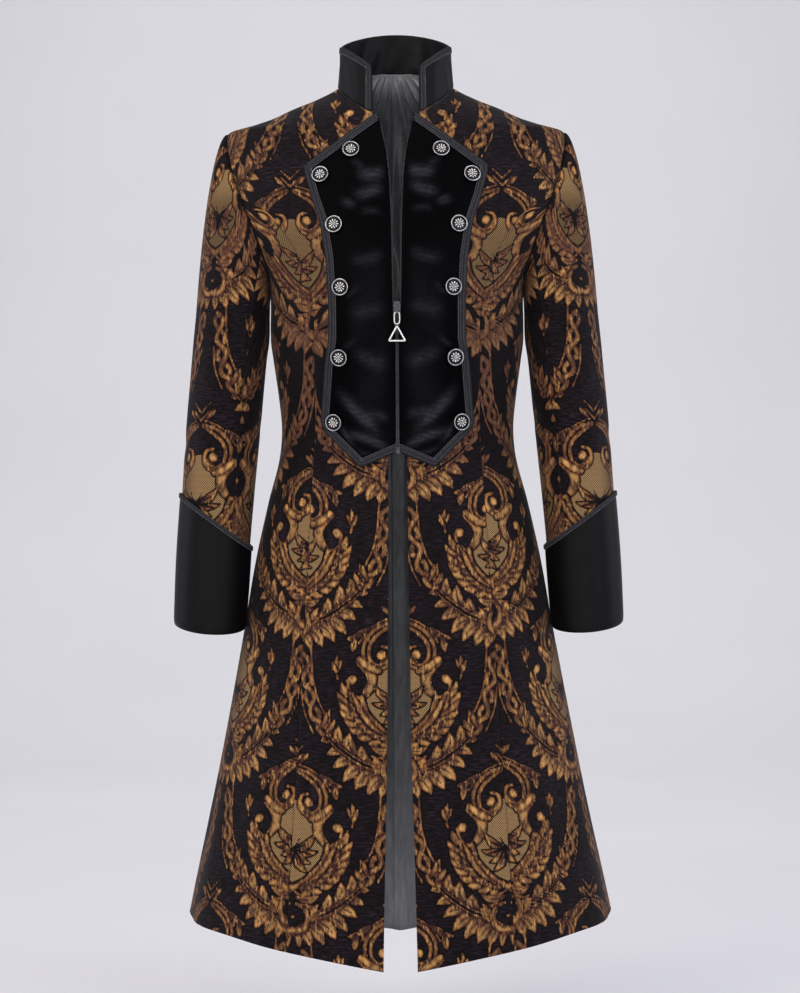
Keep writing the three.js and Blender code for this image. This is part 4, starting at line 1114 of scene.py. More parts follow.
# Sleeves
sleeveRows = {
    "z": [-300, -335, -362, -450, -550, -628, -712],
    "x": [217.9, 220, 223, 230.8, 238.6, 244.2, 248.9],
    "y": [-2, -4, -5, -11, -19, -25, -31],
    "wide": [48.9, 50.3, 49.6, 49.3, 47.5, 46.6, 45.6],
    "deep": [66, 64.5, 63.5, 60, 56, 53, 50],
}
sleeve = {
    "capBulge": 27, "seamShift": 0.7, "seamLevel": -222, "footZ": -710, "footSlant": 4, "footDip": 11,
    "node": -270, "leftDrop": 9, "leftShare": 0.85, "seamInset": 0.003, "tuck": 2.6, "tuckTurn": 3.2,
    "top": {"rows": 300, "columns": 112, "axis": 56}, "under": {"rows": 170, "columns": 46, "axis": 180},
}
cuff = {
    "top": -572, "slant": 35.5, "lift": 0.7, "rows": 30, "columns": 84, "braidWidth": 6.5, "braidWall": 1.4,
    "cord": {"step": 4.4, "length": 3.4, "turn": 0.62, "apart": 1.35, "period": 2.6},
}


def sleeveRing(phi, z):
    x = curveAt(sleeveRows, "x", z) + curveAt(sleeveRows, "wide", z) * np.cos(phi)
    y = curveAt(sleeveRows, "y", z) - curveAt(sleeveRows, "deep", z) * np.sin(phi)
    return np.stack([x, y, np.broadcast_to(z, x.shape)], -1)


def sleevePoint(phi, run):
    # run is 0 at the armhole and 1 at the head's foot, and then grows by 1 every 100 mm down
    phi, run = np.broadcast_arrays(np.asarray(phi, float), np.asarray(run, float))
    top = sleeveRows["z"][0]
    low = sleeveRing(phi, top - np.maximum(run - 1, 0) * 100)
    start = bodyPoint(armholeTheta(phi), armholeLevel(phi))
    start[..., 0] += sleeve["seamShift"]
    up = np.clip(run, 0, 1)
    point = start + (low - start) * up[..., None]
    size = sleeve["capBulge"] * up**0.4 * (1 - up) * (0.5 + 0.5 * np.cos(phi))
    point[..., 0] += size * np.cos(phi)
    point[..., 1] -= size * np.sin(phi)
    return point


def onSleeve(phi, run, lift):
    safe = np.maximum(run, 0.03)
    alongA = sleevePoint(phi + 0.01, safe) - sleevePoint(phi - 0.01, safe)
    alongB = sleevePoint(phi, safe + 0.02) - sleevePoint(phi, safe - 0.02)
    normal = np.cross(alongA, alongB)
    normal /= np.maximum(np.linalg.norm(normal, axis=-1, keepdims=True), 1e-9)
    middle = np.stack([np.cos(phi), -np.sin(phi), np.zeros_like(phi)], -1)
    normal *= np.where((normal * middle).sum(-1, keepdims=True) < 0, -1, 1)
    return sleevePoint(phi, run) + normal * np.asarray(lift, float)[..., None]


def sleeveRun(z):
    return 1 + (sleeveRows["z"][0] - z) / 100


def sleeveFoot(phi):
    return sleeve["footZ"] + sleeve["footSlant"] * np.cos(phi) - sleeve["footDip"] * np.sin(phi)


def buildSleeve(part, side):
    spec = sleeve[part]
    depth = form["shoulderEnd"] - form["underarm"]
    seam = math.acos(1 - 2 * (form["shoulderEnd"] - sleeve["seamLevel"]) / depth)
    inset = sleeve["seamInset"]
    turn = (inset - seam, seam - inset) if part == "top" else (seam + inset, 2 * math.pi - seam - inset)
    # columns lie an even distance apart round the arm
    phiAt = lambda t: turn[0] + (turn[1] - turn[0]) * t
    columnShares = evenSteps(lambda t, s: sleevePoint(phiAt(t), np.full(t.shape, s)),
                             (0.1, 2.0), spec["columns"])
    phi = phiAt(columnShares)[None, :]
    runEnd = sleeveRun(sleeveFoot(phi) + 2)
    shares = evenSteps(lambda s, p: sleevePoint(np.full(s.shape, p), s * 5.1), (0.0, 1.2, 2.4), spec["rows"])
    run = shares[:, None] * runEnd
    phi = np.broadcast_to(phi, run.shape)
    flat = sleevePoint(phi, run)
    arcs = runAlong(flat, 1)
    toEdge = np.minimum(arcs, arcs[:, -1:] - arcs)
    toHole = runAlong(flat, 0)
    degrees = np.degrees(phi)
    if part == "under":
        degrees = np.where(degrees > 200, degrees - 360, degrees)
    foldZ = flat[..., 2] + (0 if side > 0 else sleeve["leftDrop"])
    lift = sum(foldHeight(sleeveFolds, degrees + turned, foldZ, 0.9) for turned in (0, 360))
    lift *= 1.0 if side > 0 else sleeve["leftShare"]
    lift *= smoothStep(toHole, 4, 30) * smoothStep(flat[..., 2], cuff["top"] - 20, cuff["top"] + 60)
    lift -= seamRoll["depth"] * 0.8 * np.exp(-(toEdge / seamRoll["width"]) ** 2)
    lift -= 0.7 * np.exp(-(toHole / 2.5) ** 2)
    outer = onSleeve(phi, run, lift)
    inner = onSleeve(phi, run, lift - wall["cloth"])
    zeroColumn = int(np.argmin(np.abs(np.degrees(phi[0]) - spec["axis"])))
    fromAxis = arcs - arcs[:, zeroColumn:zeroColumn + 1]
    down = -(flat[..., 2] - sleeve["node"])
    # painted shade: the figure is painted dull on the outer side of the sleeve (less near its top), in a band
    # below the shoulder, and half dull over the whole under sleeve, where the cloth turns from the lamps
    dullShade = smoothStep(np.cos(phi), 0.55, 0.95) * 0.75 * (1 - 0.6 * smoothStep(flat[..., 2], -150, -90))
    dullShade = np.maximum(dullShade, plateau(flat[..., 2], -260, -225, -165, -130) * 0.7)
    if part == "under":
        dullShade = np.full(phi.shape, 0.5)
    # the seam allowance is tucked in under the body's edge
    first = phi[:1]
    inward = np.stack([np.full(first.shape, -sleeve["tuck"]), sleeve["tuckTurn"] * np.sin(first),
                       -sleeve["tuckTurn"] * np.cos(first)], -1)
    outer, inner = (np.concatenate([grid[:1] + inward, grid]) for grid in (outer, inner))
    fromAxis, down, dullShade = (np.concatenate([grid[:1], grid]) for grid in (fromAxis, down, dullShade))
    label, mirror = sideName(side), np.array([side, 1, 1])
    piece, *picks = shellObject(f"{part}_sleeve_{label}_cloth", outer * mirror, inner * mirror, 4)
    weaveBrocade(piece, picks, fromAxis, down, dullShade, fromAxis)
    finishPiece(piece, brocadeCloth, "coat", "brocade", f"{part}_sleeve_{label}")
    declareSheet(piece, outer)


for part in ("top", "under"):
    for side in (1, -1):
        buildSleeve(part, side)
print("sleeves built")


def buildCuff(side):
    label = sideName(side)
    mirror = np.array([side, 1, 1])
    phi = np.linspace(0, 2 * math.pi, cuff["columns"], endpoint=False)[None, :]
    top = cuff["top"] + cuff["slant"] * np.cos(phi)
    rows = np.linspace(0, 1, cuff["rows"])[:, None]
    z = top + (sleeveFoot(phi) - top) * rows
    phi = np.broadcast_to(phi, z.shape)
    # a slight roll at both edges and two soft dents
    full = cuff["lift"] + wall["velvet"]
    lift = full + 0.5 * np.sin(math.pi * rows) + 0.35 * np.sin(2 * phi + 1 + 2 * rows)
    lift -= 0.9 * np.exp(-((rows - 1) / 0.02) ** 2)
    lift = np.maximum(lift, cuff["lift"] + 0.8) * np.ones_like(z)
    under = smoothStep(rows, 0.0, 0.09)
    lift = lift * under + full * (1 - under)
    outer = onSleeve(phi, sleeveRun(z), lift) * mirror
    inner = onSleeve(phi, sleeveRun(z), np.full(z.shape, cuff["lift"])) * mirror
    piece, _, _ = shellObject(f"cuff_{label}_cloth", outer, inner, 1, True)
    finishPiece(piece, velvetCloth, "coat", "velvet", f"cuff_{label}")
    closed = np.concatenate([outer, outer[:, :1]], 1)
    declareSheet(piece, closed)


for side in (1, -1):
    buildCuff(side)

# Velvet plastron in two halves, with soft folds that only rise
plastron = {
    "top": (23.5, -42), "point": (45.5, -505), "innerFoot": (3.4, -487), "braidWidth": 10.5,
    "side": [(118.3, -113.6), (118.2, -122.5), (109.4, -156), (98.3, -189), (91, -234), (87.6, -288),
             (87.6, -339), (92.5, -372), (96.3, -421), (98.3, -445), (93.4, -458.7), (50.4, -503.4)],
    "lift": 0.3, "braidLift": 2.2, "rows": 170, "columns": 44, "leftShift": 4,
    "cord": {"step": 2.2, "length": 5.2, "turn": 0.62, "apart": 2.1, "period": 2.6},
}
# Across is x in the front view
plastronFolds = foldTable(
    (12, -119, 54, -121, 9, 1.5),
    (14, -142, 58, -147, 8, 1.4),
    (60, -152, 66, -166, 9, 1.2),
    (14, -226, 62, -236, 9, 0.9),
    (12, -290, 64, -306, 10, 0.8),
    (8, -368, 60, -352, 10, 1.0),
    (6, -478, 70, -452, 6, 1.6),
    (14, -486, 60, -478, 3.5, 0.9),
    (52, -474, 80, -436, 3.5, 0.9),
    (30, -446, 72, -412, 4, 0.7),
    (40, -110, 62, -104, 5, 0.7),
    (18, -168, 48, -174, 5, 0.8),
    (50, -262, 64, -286, 4, 0.7),
    (54, -330, 70, -352, 4, 0.7),
    (20, -463, 78, -392, 8, 1.3),
    (10, -440, 44, -424, 7, 1.0),
)


def raisedFolds(folds, x, z, shift):
    # as foldHeight, in the flat front view
    height = np.zeros(np.broadcast(x, z).shape)
    for fold in folds:
        x0, z0, x1, z1 = (fold[column] for column in ("startX", "startZ", "endX", "endZ"))
        length = math.hypot(x1 - x0, z1 - z0)
        t = ((x - x0) * (x1 - x0) + (z + shift - z0) * (z1 - z0)) / length**2
        away = ((x - x0) * (z1 - z0) - (z + shift - z0) * (x1 - x0)) / length
        away = away + 2.2 * np.sin(t * 4 + fold["width"])
        ends = plateau(t, -0.1, 0.35, 0.6, 1.1)
        height += fold["lift"] * ends * np.exp(-((away / fold["width"]) ** 2))
    return height


def plastronEdges(z):
    sideZ = [plastron["top"][1]] + [row[1] for row in plastron["side"]] + [plastron["point"][1]]
    sideX = [plastron["top"][0]] + [row[0] for row in plastron["side"]] + [plastron["point"][0]]
    outer = np.interp(-z, -np.array(sideZ), sideX)
    inner = lineAt(opening, "velvet", z)
    foot, point = plastron["innerFoot"], plastron["point"]
    below = foot[0] + (point[0] - foot[0]) * np.clip((foot[1] - z) / (foot[1] - point[1]), 0, 1)
    return np.where(z > foot[1], inner, below), outer


def buildPlastron(side):
    label = sideName(side)
    mirror = np.array([side, 1, 1])
    corners = [row[1] for row in plastron["side"]] + [plastron["innerFoot"][1]]
    levels = np.linspace(plastron["top"][1] - 0.3, plastron["point"][1] + 0.3, plastron["rows"])
    z = np.union1d(levels, corners)[::-1][:, None]
    inner, outer = plastronEdges(z)
    across = np.linspace(0, 1, plastron["columns"])[None, :]
    x = inner + (outer - inner) * across
    z = np.broadcast_to(z, x.shape)
    # flat under the braid and near the zip
    gap = np.minimum(outer - x, (plastron["top"][1] - z) * 0.8 - (x - plastron["top"][0]) * 0.6)
    gap = np.minimum(gap, z - plastron["point"][1])
    free = smoothStep(gap, plastron["braidWidth"] + 0.5, plastron["braidWidth"] + 9)
    free = free * smoothStep(x - inner, 0.5, 7)
    shift = 0 if side > 0 else plastron["leftShift"]
    height = raisedFolds(plastronFolds, x, z, shift) * free
    roll = 0.7 * np.exp(-((x - inner) / 1.1) ** 2)
    top = plastron["lift"] + wall["velvet"] + height - roll
    face = onFront(x, z, top) * mirror
    back = onFront(x, z, np.full(x.shape, plastron["lift"])) * mirror
    piece, pickRows, pickColumns = shellObject(f"plastron_{label}_cloth", face, back, 2)
    # painted highlights along the folds, in streaks
    shine = raisedFolds(plastronFolds, x, z + 2.5, shift) * free
    streaks = 0.75 + 0.25 * np.sin(z * 0.9 + 2 * np.sin(x * 0.15))
    shine = np.clip(shine / 1.5, 0, 1) ** 1.5 * streaks
    # a broad soft painted sheen over the lower half
    broad = plateau(-z, 190, 300, 400, 480) * (0.7 + 0.3 * np.sin(z * 0.05 + x * 0.09))
    shine = shine + 0.13 * broad * plateau(x - inner, 1, 22, 40, 66)
    addField(piece, "plastronShine", np.concatenate([shine.ravel(), np.zeros(len(pickRows) * len(pickColumns))]))
    finishPiece(piece, plastronVelvet, "coat", "velvet", f"plastron_{label}")
    declareSheet(piece, face)


for side in (1, -1):
    buildPlastron(side)
print("velvet built")


def mitredInside(path, width):
    # a path's inner line at the band's width, mitred at its corners
    inside = []
    for i, point in enumerate(path):
        before, after = path[max(i - 1, 0)], path[min(i + 1, len(path) - 1)]
        into = np.array(point) - np.array(before)
        onward = np.array(after) - np.array(point)
        into, onward = (v / max(np.linalg.norm(v), 1e-9) for v in (into, onward))
        into = onward if i == 0 else into
        onward = into if i == len(path) - 1 else onward
        bisector = (into + onward) / np.linalg.norm(into + onward)
        across = np.array([bisector[1], -bisector[0]])
        stretch = width / max(across @ np.array([onward[1], -onward[0]]), 0.5)
        inside.append(tuple(np.array(point) + across * stretch))
    return inside


def stripShares(first, second, step):
    # rows between two paths with matching corners, about a step apart, and the distance along
    rows, runs, run = [], [], 0.0
    for i in range(len(first) - 1):
        a0, a1, b0, b1 = (np.array(p, float) for p in (first[i], first[i + 1], second[i], second[i + 1]))
        length = (np.linalg.norm(a1 - a0) + np.linalg.norm(b1 - b0)) / 2
        count = max(int(round(length / step)), 1)
        for k in range(count):
            t = k / count
            rows.append((a0 + (a1 - a0) * t, b0 + (b1 - b0) * t))
            runs.append(run + length * t)
        run += length
    rows.append((np.array(first[-1], float), np.array(second[-1], float)))
    runs.append(run)
    return np.array([r[0] for r in rows]), np.array([r[1] for r in rows]), np.array(runs)


def roundedShare(across, edge=0.16):
    # 0 at a band's two edges and 1 over its middle
    away = np.minimum(across, 1 - across) / edge
    return np.sqrt(np.clip(1 - (1 - np.clip(away, 0, 1)) ** 2, 0, 1))


def bandPiece(node, first, second, place, low, thick, cord):
    # a braid between two paths, with raised chevrons along it and stitches at its inner edge
    name = node + "_band"
    a, b, runs = stripShares(first, second, cord["step"])
    across = np.linspace(0, 1, 9)[None, :, None]
    flat = a[:, None, :] + (b - a)[:, None, :] * across
    height = low + thick * (0.45 + 0.55 * roundedShare(across[..., 0])) * np.ones(flat.shape[:2])
    top = place(flat[..., 0], flat[..., 1], height)
    foot = place(flat[..., 0], flat[..., 1], np.full(height.shape, low))
    band, _, _ = shellObject(name, top, foot, 1)
    finishPiece(band, braidCloth, "coat", "braid", node)
    width, length, area = gridSize(top)
    total = runs[-1]

    def along(count, share, lift):
        at = (np.arange(count) + 0.5) * total / count
        points = []
        for offset in (-0.4, 0.4, 0):
            pa = np.stack([np.interp(at + offset, runs, a[:, k]) for k in (0, 1)], -1)
            pb = np.stack([np.interp(at + offset, runs, b[:, k]) for k in (0, 1)], -1)
            spot = pa + (pb - pa) * share
            points.append(place(spot[:, 0], spot[:, 1], np.full(count, lift)))
        spot = pa + (pb - pa) * min(share + 0.06, 1)
        beside = place(spot[:, 0], spot[:, 1], np.full(count, lift)) - points[2]
        tangent = points[1] - points[0]
        outward = np.cross(tangent, beside)
        below = points[2] - place(spot[:, 0], spot[:, 1], np.full(count, lift - 1.0))
        outward *= np.sign((outward * below).sum(-1, keepdims=True))
        return points[2], outward, tangent

    bars = []
    for arm in (1, -1):
        points, faces = barPart(cord["length"], 0.9, 0.45, arm * cord["turn"])
        bars.append((points - np.array([0, arm * cord["apart"], 0]), faces))
    strand = partObject("strand", bars)
    chevrons = repeatPart(name + "_chevrons", *along(int(total / cord["period"]), 0.5, low + thick - 0.06),
                          strand, cordCloth, "braid", 0.04)
    bpy.data.objects.remove(strand)
    stitch = partObject("stitch", [barPart(1.7, 0.7, 0.5)])
    stitches = repeatPart(name + "_stitches", *along(int(total / 2.8), 0.93, low + thick * 0.72),
                          stitch, stitchThread, "braid", 0.1)
    bpy.data.objects.remove(stitch)
    # no side of a sheet is stated under 10 mm
    max(width, 0.01)


def buildPlastronBraid(side):
    label = sideName(side)
    path = [plastron["top"]] + plastron["side"] + [plastron["point"], plastron["innerFoot"]]
    inside = mitredInside(path, plastron["braidWidth"])
    inside[0] = (plastron["top"][0], plastron["top"][1] - plastron["braidWidth"] * 1.25)
    inside[-1] = (plastron["innerFoot"][0], plastron["innerFoot"][1] + plastron["braidWidth"] * 1.1)
    place = lambda x, z, lift: onFront(x, z, lift) * np.array([side, 1, 1])
    bandPiece(f"plastron_braid_{label}", path, inside, place, plastron["braidLift"], wall["braid"],
              plastron["cord"])


def buildCuffBraid(side):
    label = sideName(side)
    turns = np.linspace(0, 2 * math.pi, 73)
    edge = cuff["top"] + cuff["slant"] * np.cos(turns)
    radius = 50
    first = list(zip(turns * radius, edge))
    second = list(zip(turns * radius, edge - cuff["braidWidth"]))
    mirror = np.array([side, 1, 1])
    place = lambda x, z, lift: onSleeve(x / radius, sleeveRun(z), lift) * mirror
    bandPiece(f"cuff_braid_{label}", first, second, place, cuff["lift"] + wall["velvet"] + wall["layerGap"],
              cuff["braidWall"], cuff["cord"])


for side in (1, -1):
    buildPlastronBraid(side)
    buildCuffBraid(side)
print("braids built")

# Stand collar
collar = {
    "wall": 2.4, "frontX": 31, "baseLift": 0.9, "topHalf": 73.6, "topFront": 66, "topBack": 63,
    "backRise": 27.5, "sideTop": 53.5, "topFrontX": 31, "frontTop": 21, "corner": 7, "rows": 22,
    "braidWidth": 9, "braidWall": 1.2, "braidLength": 74,
    "cord": {"step": 2.0, "length": 4.4, "turn": 0.62, "apart": 1.8, "period": 2.6},
}


def collarPoint(share, rise):
    # share runs from the front edge to the back middle, rise from the foot to the top
    share, rise = np.broadcast_arrays(np.asarray(share, float), np.asarray(rise, float))
    baseStart = math.asin(collar["frontX"] / form["neckHalf"])
    topStart = math.asin(collar["topFrontX"] / collar["topHalf"])
    baseTurn = baseStart + (math.pi - baseStart) * share
    topTurn = topStart + (math.pi - topStart) * share
    baseX, baseCos = form["neckHalf"] * np.sin(baseTurn), np.cos(baseTurn)
    front = np.clip(baseCos, 0, 1) ** 1.6
    back = np.clip(-baseCos, 0, 1) ** 1.2
    baseZ = np.where(baseCos > 0, -form["frontNeckDrop"] * front, form["backNeckRise"] * back)
    half, power = curveAt(bodyRows, "half", baseZ), curveAt(bodyRows, "power", baseZ)
    along = (1 - np.minimum(baseX / half, 1) ** power) ** (1 / power)
    depth = np.where(baseCos > 0, -curveAt(bodyRows, "front", baseZ), curveAt(bodyRows, "back", baseZ))
    base = np.stack([baseX, depth * along, baseZ + collar["baseLift"]], -1)
    topX, topCos = collar["topHalf"] * np.sin(topTurn), np.cos(topTurn)
    slope = (collar["sideTop"] - collar["frontTop"]) / (collar["topHalf"] - collar["topFrontX"])
    frontTop = collar["sideTop"] - slope * (collar["topHalf"] - topX)
    backTop = collar["sideTop"] + collar["backRise"] * np.clip(-topCos, 0, 1) ** 1.2
    topY = np.where(topCos > 0, -collar["topFront"], -collar["topBack"]) * topCos
    top = np.stack([topX, topY, np.where(topCos > 0, frontTop, backTop)], -1)
    return base + (top - base) * rise[..., None]


def onCollar(share, rise, lift):
    safe = np.clip(share, 0.001, 0.999)
    alongA = collarPoint(safe + 0.001, rise) - collarPoint(safe - 0.001, rise)
    alongB = collarPoint(safe, rise + 0.01) - collarPoint(safe, rise - 0.01)
    point = collarPoint(share, rise)
    return point + normalsBetween(alongA, alongB, point) * np.asarray(lift, float)[..., None]


def collarHeight(share):
    return np.linalg.norm(collarPoint(share, 0) - collarPoint(share, 1), axis=-1)


fineTurn = np.linspace(0, 1, 201)
halfCollar = np.linalg.norm(np.diff(collarPoint(fineTurn, 0.5), axis=0), axis=-1).sum()


def cutRise(share, rise):
    # the collar's rounded front corner
    away = np.maximum(collar["corner"] - share * halfCollar, 0)
    cut = collar["corner"] - np.sqrt(collar["corner"] ** 2 - away**2)
    return rise * (1 - cut / collarHeight(share))


def buildCollar():
    distance = np.concatenate([[0, 0.8, 1.6, 2.5, 3.7, 5, 6.5], np.linspace(8, halfCollar, 120)])
    share = distance / halfCollar
    signed = np.concatenate([share, share[:-1][::-1]])[None, :]
    side = np.concatenate([np.ones(len(share)), -np.ones(len(share) - 1)])[None, :]
    rise = np.linspace(0, 1, collar["rows"])[:, None]
    height = cutRise(signed, rise)
    # soft upright waves below the braid outside, and deeper creases in the free back inside
    around = np.where(side > 0, signed, 2 - signed) * 40
    low = plateau(rise, 0.02, 0.2, 0.6, 0.82)
    wave = -0.5 * (1 + np.sin(around * 1.1 + 2 * rise)) * low * smoothStep(signed, 0.08, 0.2)
    inwardWave = 0.9 * (1 + np.sin(around * 0.8 + 4 * rise)) * smoothStep(signed, 0.35, 0.6)
    inwardWave = inwardWave * np.sin(math.pi * rise) ** 0.6
    outer = onCollar(signed, height, wave)
    inner = onCollar(signed, height, wave - collar["wall"] - inwardWave)
    outer[..., 0] *= side
    inner[..., 0] *= side
    piece, _, _ = shellObject("collar_cloth", outer, inner, 1)
    finishPiece(piece, velvetCloth, "coat", "velvet", "collar")
    declareSheet(piece, outer)


def buildCollarBraid(side):
    label = sideName(side)
    width, reach = collar["braidWidth"], collar["braidLength"]
    heightAt = lambda d: float(collarHeight(np.array(d / halfCollar)))
    top = [(d, 1.0) for d in (2.5, 5, 9, 14, 21, 29, 38, 48, 60, reach)]
    first = [(0, 0), (0, 0.55), (0, 0.9), (0.8, 1.0)] + top
    second = [(width, 0), (width, 0.5), (width, 0.62), (width, 0.68)]
    second += [(max(d, width + 0.05 * i), 1 - width / heightAt(max(d, width)))
               for i, (d, _) in enumerate(top)]
    mirror = np.array([side, 1, 1])

    def place(d, rise, lift):
        share = np.clip(d, 0, halfCollar) / halfCollar
        return onCollar(share, cutRise(share, rise), lift) * mirror

    # distances along run in millimetres, so the paths' rises are scaled first
    scale = heightAt(4)
    tall = lambda path: [(d, rise * scale) for d, rise in path]
    bandPiece(f"collar_braid_{label}", tall(first), tall(second),
              lambda d, h, lift: place(d, h / scale, lift), wall["layerGap"], collar["braidWall"],
              collar["cord"])


buildCollar()
for side in (1, -1):
    buildCollarBraid(side)
print("collar built")

# Satin lining behind the backs, pleated from the nape
lining = {
    "top": 25, "rows": 170, "columns": 60, "gap": 0.3, "wall": 1.0, "pleats": 6, "pleatDepth": 5.2, "lap": 7,
}


def buildLining(side):
    label = sideName(side)
    mirror = np.array([side, 1, 1])
    level = panelLevels("back", lining["top"], (0.0, 1.0), lining["rows"])
    across = np.linspace(0, 1, lining["columns"])[None, :]
    theta = panelTheta("back", across, level)
    lap = smoothStep(across, 0.88, 1) if side > 0 else np.zeros(across.shape)
    theta = theta + lap * lining["lap"] / curveAt(bodyRows, "half", level)
    level = np.broadcast_to(level, theta.shape)
    folds = bodyFolds if side > 0 else leftFolds
    flat = bodyPoint(theta, level)
    lift = np.minimum(foldHeight(folds, np.degrees(theta), level), 0)
    lift = lift * hemEase(level)
    # pleats fan out below the neck, and long soft ones hang in the skirt
    spread = np.arctan2(flat[..., 0] * side + 5, 48 - level)
    fan = np.cos(spread * lining["pleats"] * 2.6 + 0.5 * np.sin(level / 31)) ** 4
    fan = fan * plateau(-level, -22, 4, 200, 330)
    hang = np.sin(np.degrees(theta) * 0.21 + 0.003 * level + side) ** 2 * smoothStep(-level, 300, 500)
    hang = 0.7 * hang * (1 - smoothStep(across, 0.84, 0.95))
    pleat = -lining["pleatDepth"] * (fan + hang) * smoothStep(across, 0, 0.06) - 1.7 * lap
    outward = lift - 2.0 - lining["gap"] - 0.4 + pleat
    # it reaches up inside the collar, and the right half laps the left down the middle
    rise = np.array([0, 0, 1]) * (3 * smoothStep(level, 2, 22))[..., None]
    outer = (onBody(theta, level, outward) + rise) * mirror
    inner = (onBody(theta, level, outward - lining["wall"]) + rise) * mirror
    piece, _, _ = shellObject(f"back_lining_{label}_cloth", inner, outer, 2)
    finishPiece(piece, satinCloth, "coat", "satin", f"back_lining_{label}")
    declareSheet(piece, inner)


for side in (1, -1):
    buildLining(side)
print("lining built")

# Zip: tapes and metal parts stay as cut, with teeth closed below the slider and open above it
zipParts = {
    "closedTop": -309, "foot": -479, "pitch": 2.6, "openFoot": -296.0, "openTop": -52, "tapeEdge": 1.9,
    "tooth": (2.7, 1.35, 1.25), "toothAside": 0.75, "hinge": (0, -140.252, -307.279),
    "pull": {"wire": 1.9, "loopWide": 8.6, "loopLong": 17, "overlap": 0.6, "triangleWide": 23,
             "triangleTall": 22.5, "triangleWire": 2.6, "triangleCorner": 1.2},
}
for name, material in (("zip_tape_left", tapeCloth), ("zip_tape_right", tapeCloth),
                       ("zip_slider", toothMetal), ("zip_box", toothMetal)):
    paint(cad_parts[name], material)


def buildTeeth():
    tooth = partObject("tooth", [barPart(*zipParts["tooth"])])
    levels = np.arange(zipParts["closedTop"], zipParts["foot"], -zipParts["pitch"] / 2)
    aside = zipParts["toothAside"]
    closed = onFront(aside, levels, np.full(levels.shape, 0.1))
    closed[:, 0] = np.where(np.arange(len(levels)) % 2, aside, -aside)
    outward = np.tile((0, -1, 0.05), (len(levels), 1))
    heights = np.arange(zipParts["openFoot"], zipParts["openTop"], zipParts["pitch"])
    x = lineAt(opening, "velvet", heights) - zipParts["tapeEdge"] + 0.3
    spots = onFront(x, heights, np.full(x.shape, 0.05))
    away = onFront(x, heights, np.full(x.shape, 1.05)) - spots
    mirror = np.array([-1, 1, 1])
    for name, places, facing, material in (
            ("zip_chain", closed, outward, toothMetal),
            ("zip_open_rows", np.concatenate([spots, spots * mirror]), np.concatenate([away, away * mirror]),
             darkSilver)):
        repeatPart(name, places, facing, np.tile((1, 0, 0), (len(places), 1)), tooth, material, "metal")
    bpy.data.objects.remove(tooth)


def tubeAlong(path, radius, sides=10):
    # a closed round wire through points in the x-z plane
    path = np.array(path, float)
    tangent = np.roll(path, -1, 0) - np.roll(path, 1, 0)
    tangent /= np.linalg.norm(tangent, axis=1, keepdims=True)
    side = np.stack([tangent[:, 1], -tangent[:, 0]], 1)
    angles = np.linspace(0, 2 * math.pi, sides, endpoint=False)
    x = path[:, None, 0] + side[:, None, 0] * radius * np.cos(angles)
    z = path[:, None, 1] + side[:, None, 1] * radius * np.cos(angles)
    y = np.broadcast_to(radius * np.sin(angles) * 0.8, x.shape)
    points = np.stack([x, y, z], -1).reshape(-1, 3)
    rows = len(path)
    faces = []
    for r in range(rows):
        for c in range(sides):
            a, b = r * sides + c, ((r + 1) % rows) * sides + c
            d, e = r * sides + (c + 1) % sides, ((r + 1) % rows) * sides + (c + 1) % sides
            faces.append((a, b, e, d))
    return points, turnedOut(points, faces)


def buildPull():
    spec = zipParts["pull"]
    wire = spec["wire"] / 2
    bend = spec["loopWide"] / 2 - wire
    low = wire - spec["loopLong"] + spec["loopWide"] / 2
    high = wire - spec["loopWide"] / 2
    turns = np.linspace(0, math.pi, 14)
    loop = [(bend * math.cos(a), high + bend * math.sin(a)) for a in turns]
    loop += [(-bend * math.cos(a), low - bend * math.sin(a)) for a in turns]
    thick = spec["triangleWire"] / 2
    hang = wire - spec["loopLong"] + spec["overlap"]
    apex = hang - thick * 1.6
    foot = hang - spec["triangleTall"] + thick
    half = spec["triangleWide"] / 2 - thick * 0.8
    corners = [np.array(p) for p in ((0, apex), (-half, foot), (half, foot))]
    triangle = []
    for i, corner in enumerate(corners):
        before, after = corners[i - 1], corners[(i + 1) % 3]
        start, end = (corner + (other - corner) / np.linalg.norm(other - corner) * spec["triangleCorner"]
                      for other in (before, after))
        for t in np.linspace(0, 1, 5):
            triangle.append(tuple(start * (1 - t) ** 2 + corner * 2 * t * (1 - t) + end * t * t))
    triangle = triangle[::-1]
    pull = partObject("zip_pull_wire", [
        (points + np.array(zipParts["hinge"]), faces)
        for points, faces in (tubeAlong(loop, wire), tubeAlong(triangle, thick * 0.92))])
    finishPiece(pull, brightSilver, "pull", "metal", "zip_pull")


buildTeeth()
buildPull()
print("zip built")

# Domed buttons: a bright raised rim, a blackened ground and a rosette of petals and beads
button = {
    "places": [(58, -95), (97.4, -128), (79.5, -193.5), (71.3, -274), (73.5, -363.5), (81, -446.5)],
    "lift": 4.5, "radius": 11, "rimWire": 0.75, "rimHeight": 1.6, "rimPoints": 44,
    "petals": {"count": 10, "radius": 5.0, "height": 1.7}, "petal": (2.9, 2.0, 0.9),
    "beads": {"count": 6, "radius": 2.35, "height": 2.2}, "bead": (1.05, 0.8, 6), "crown": 2.4,
    "dots": {"count": 26, "radius": 8.4, "height": 1.2},
    "profile": [(0, 0), (9.6, 0), (10.4, 0.5), (10.6, 1.2), (9.9, 1.7), (8.9, 1.5), (8.2, 1.25),
                (6.9, 1.5), (4.5, 2.0), (2.2, 2.3), (0, 2.4)],
    "shank": [(0, -2.9), (3, -2.9), (3, 0.2), (0, 0.2)],
}


def ringAround(count, radius, height, turned=0.0):
    angles = 2 * math.pi * (np.arange(count) + turned) / count
    spots = np.stack([radius * np.cos(angles), radius * np.sin(angles), np.full(count, height)], -1)
    return spots, np.stack([np.cos(angles), np.sin(angles), np.zeros(count)], -1)


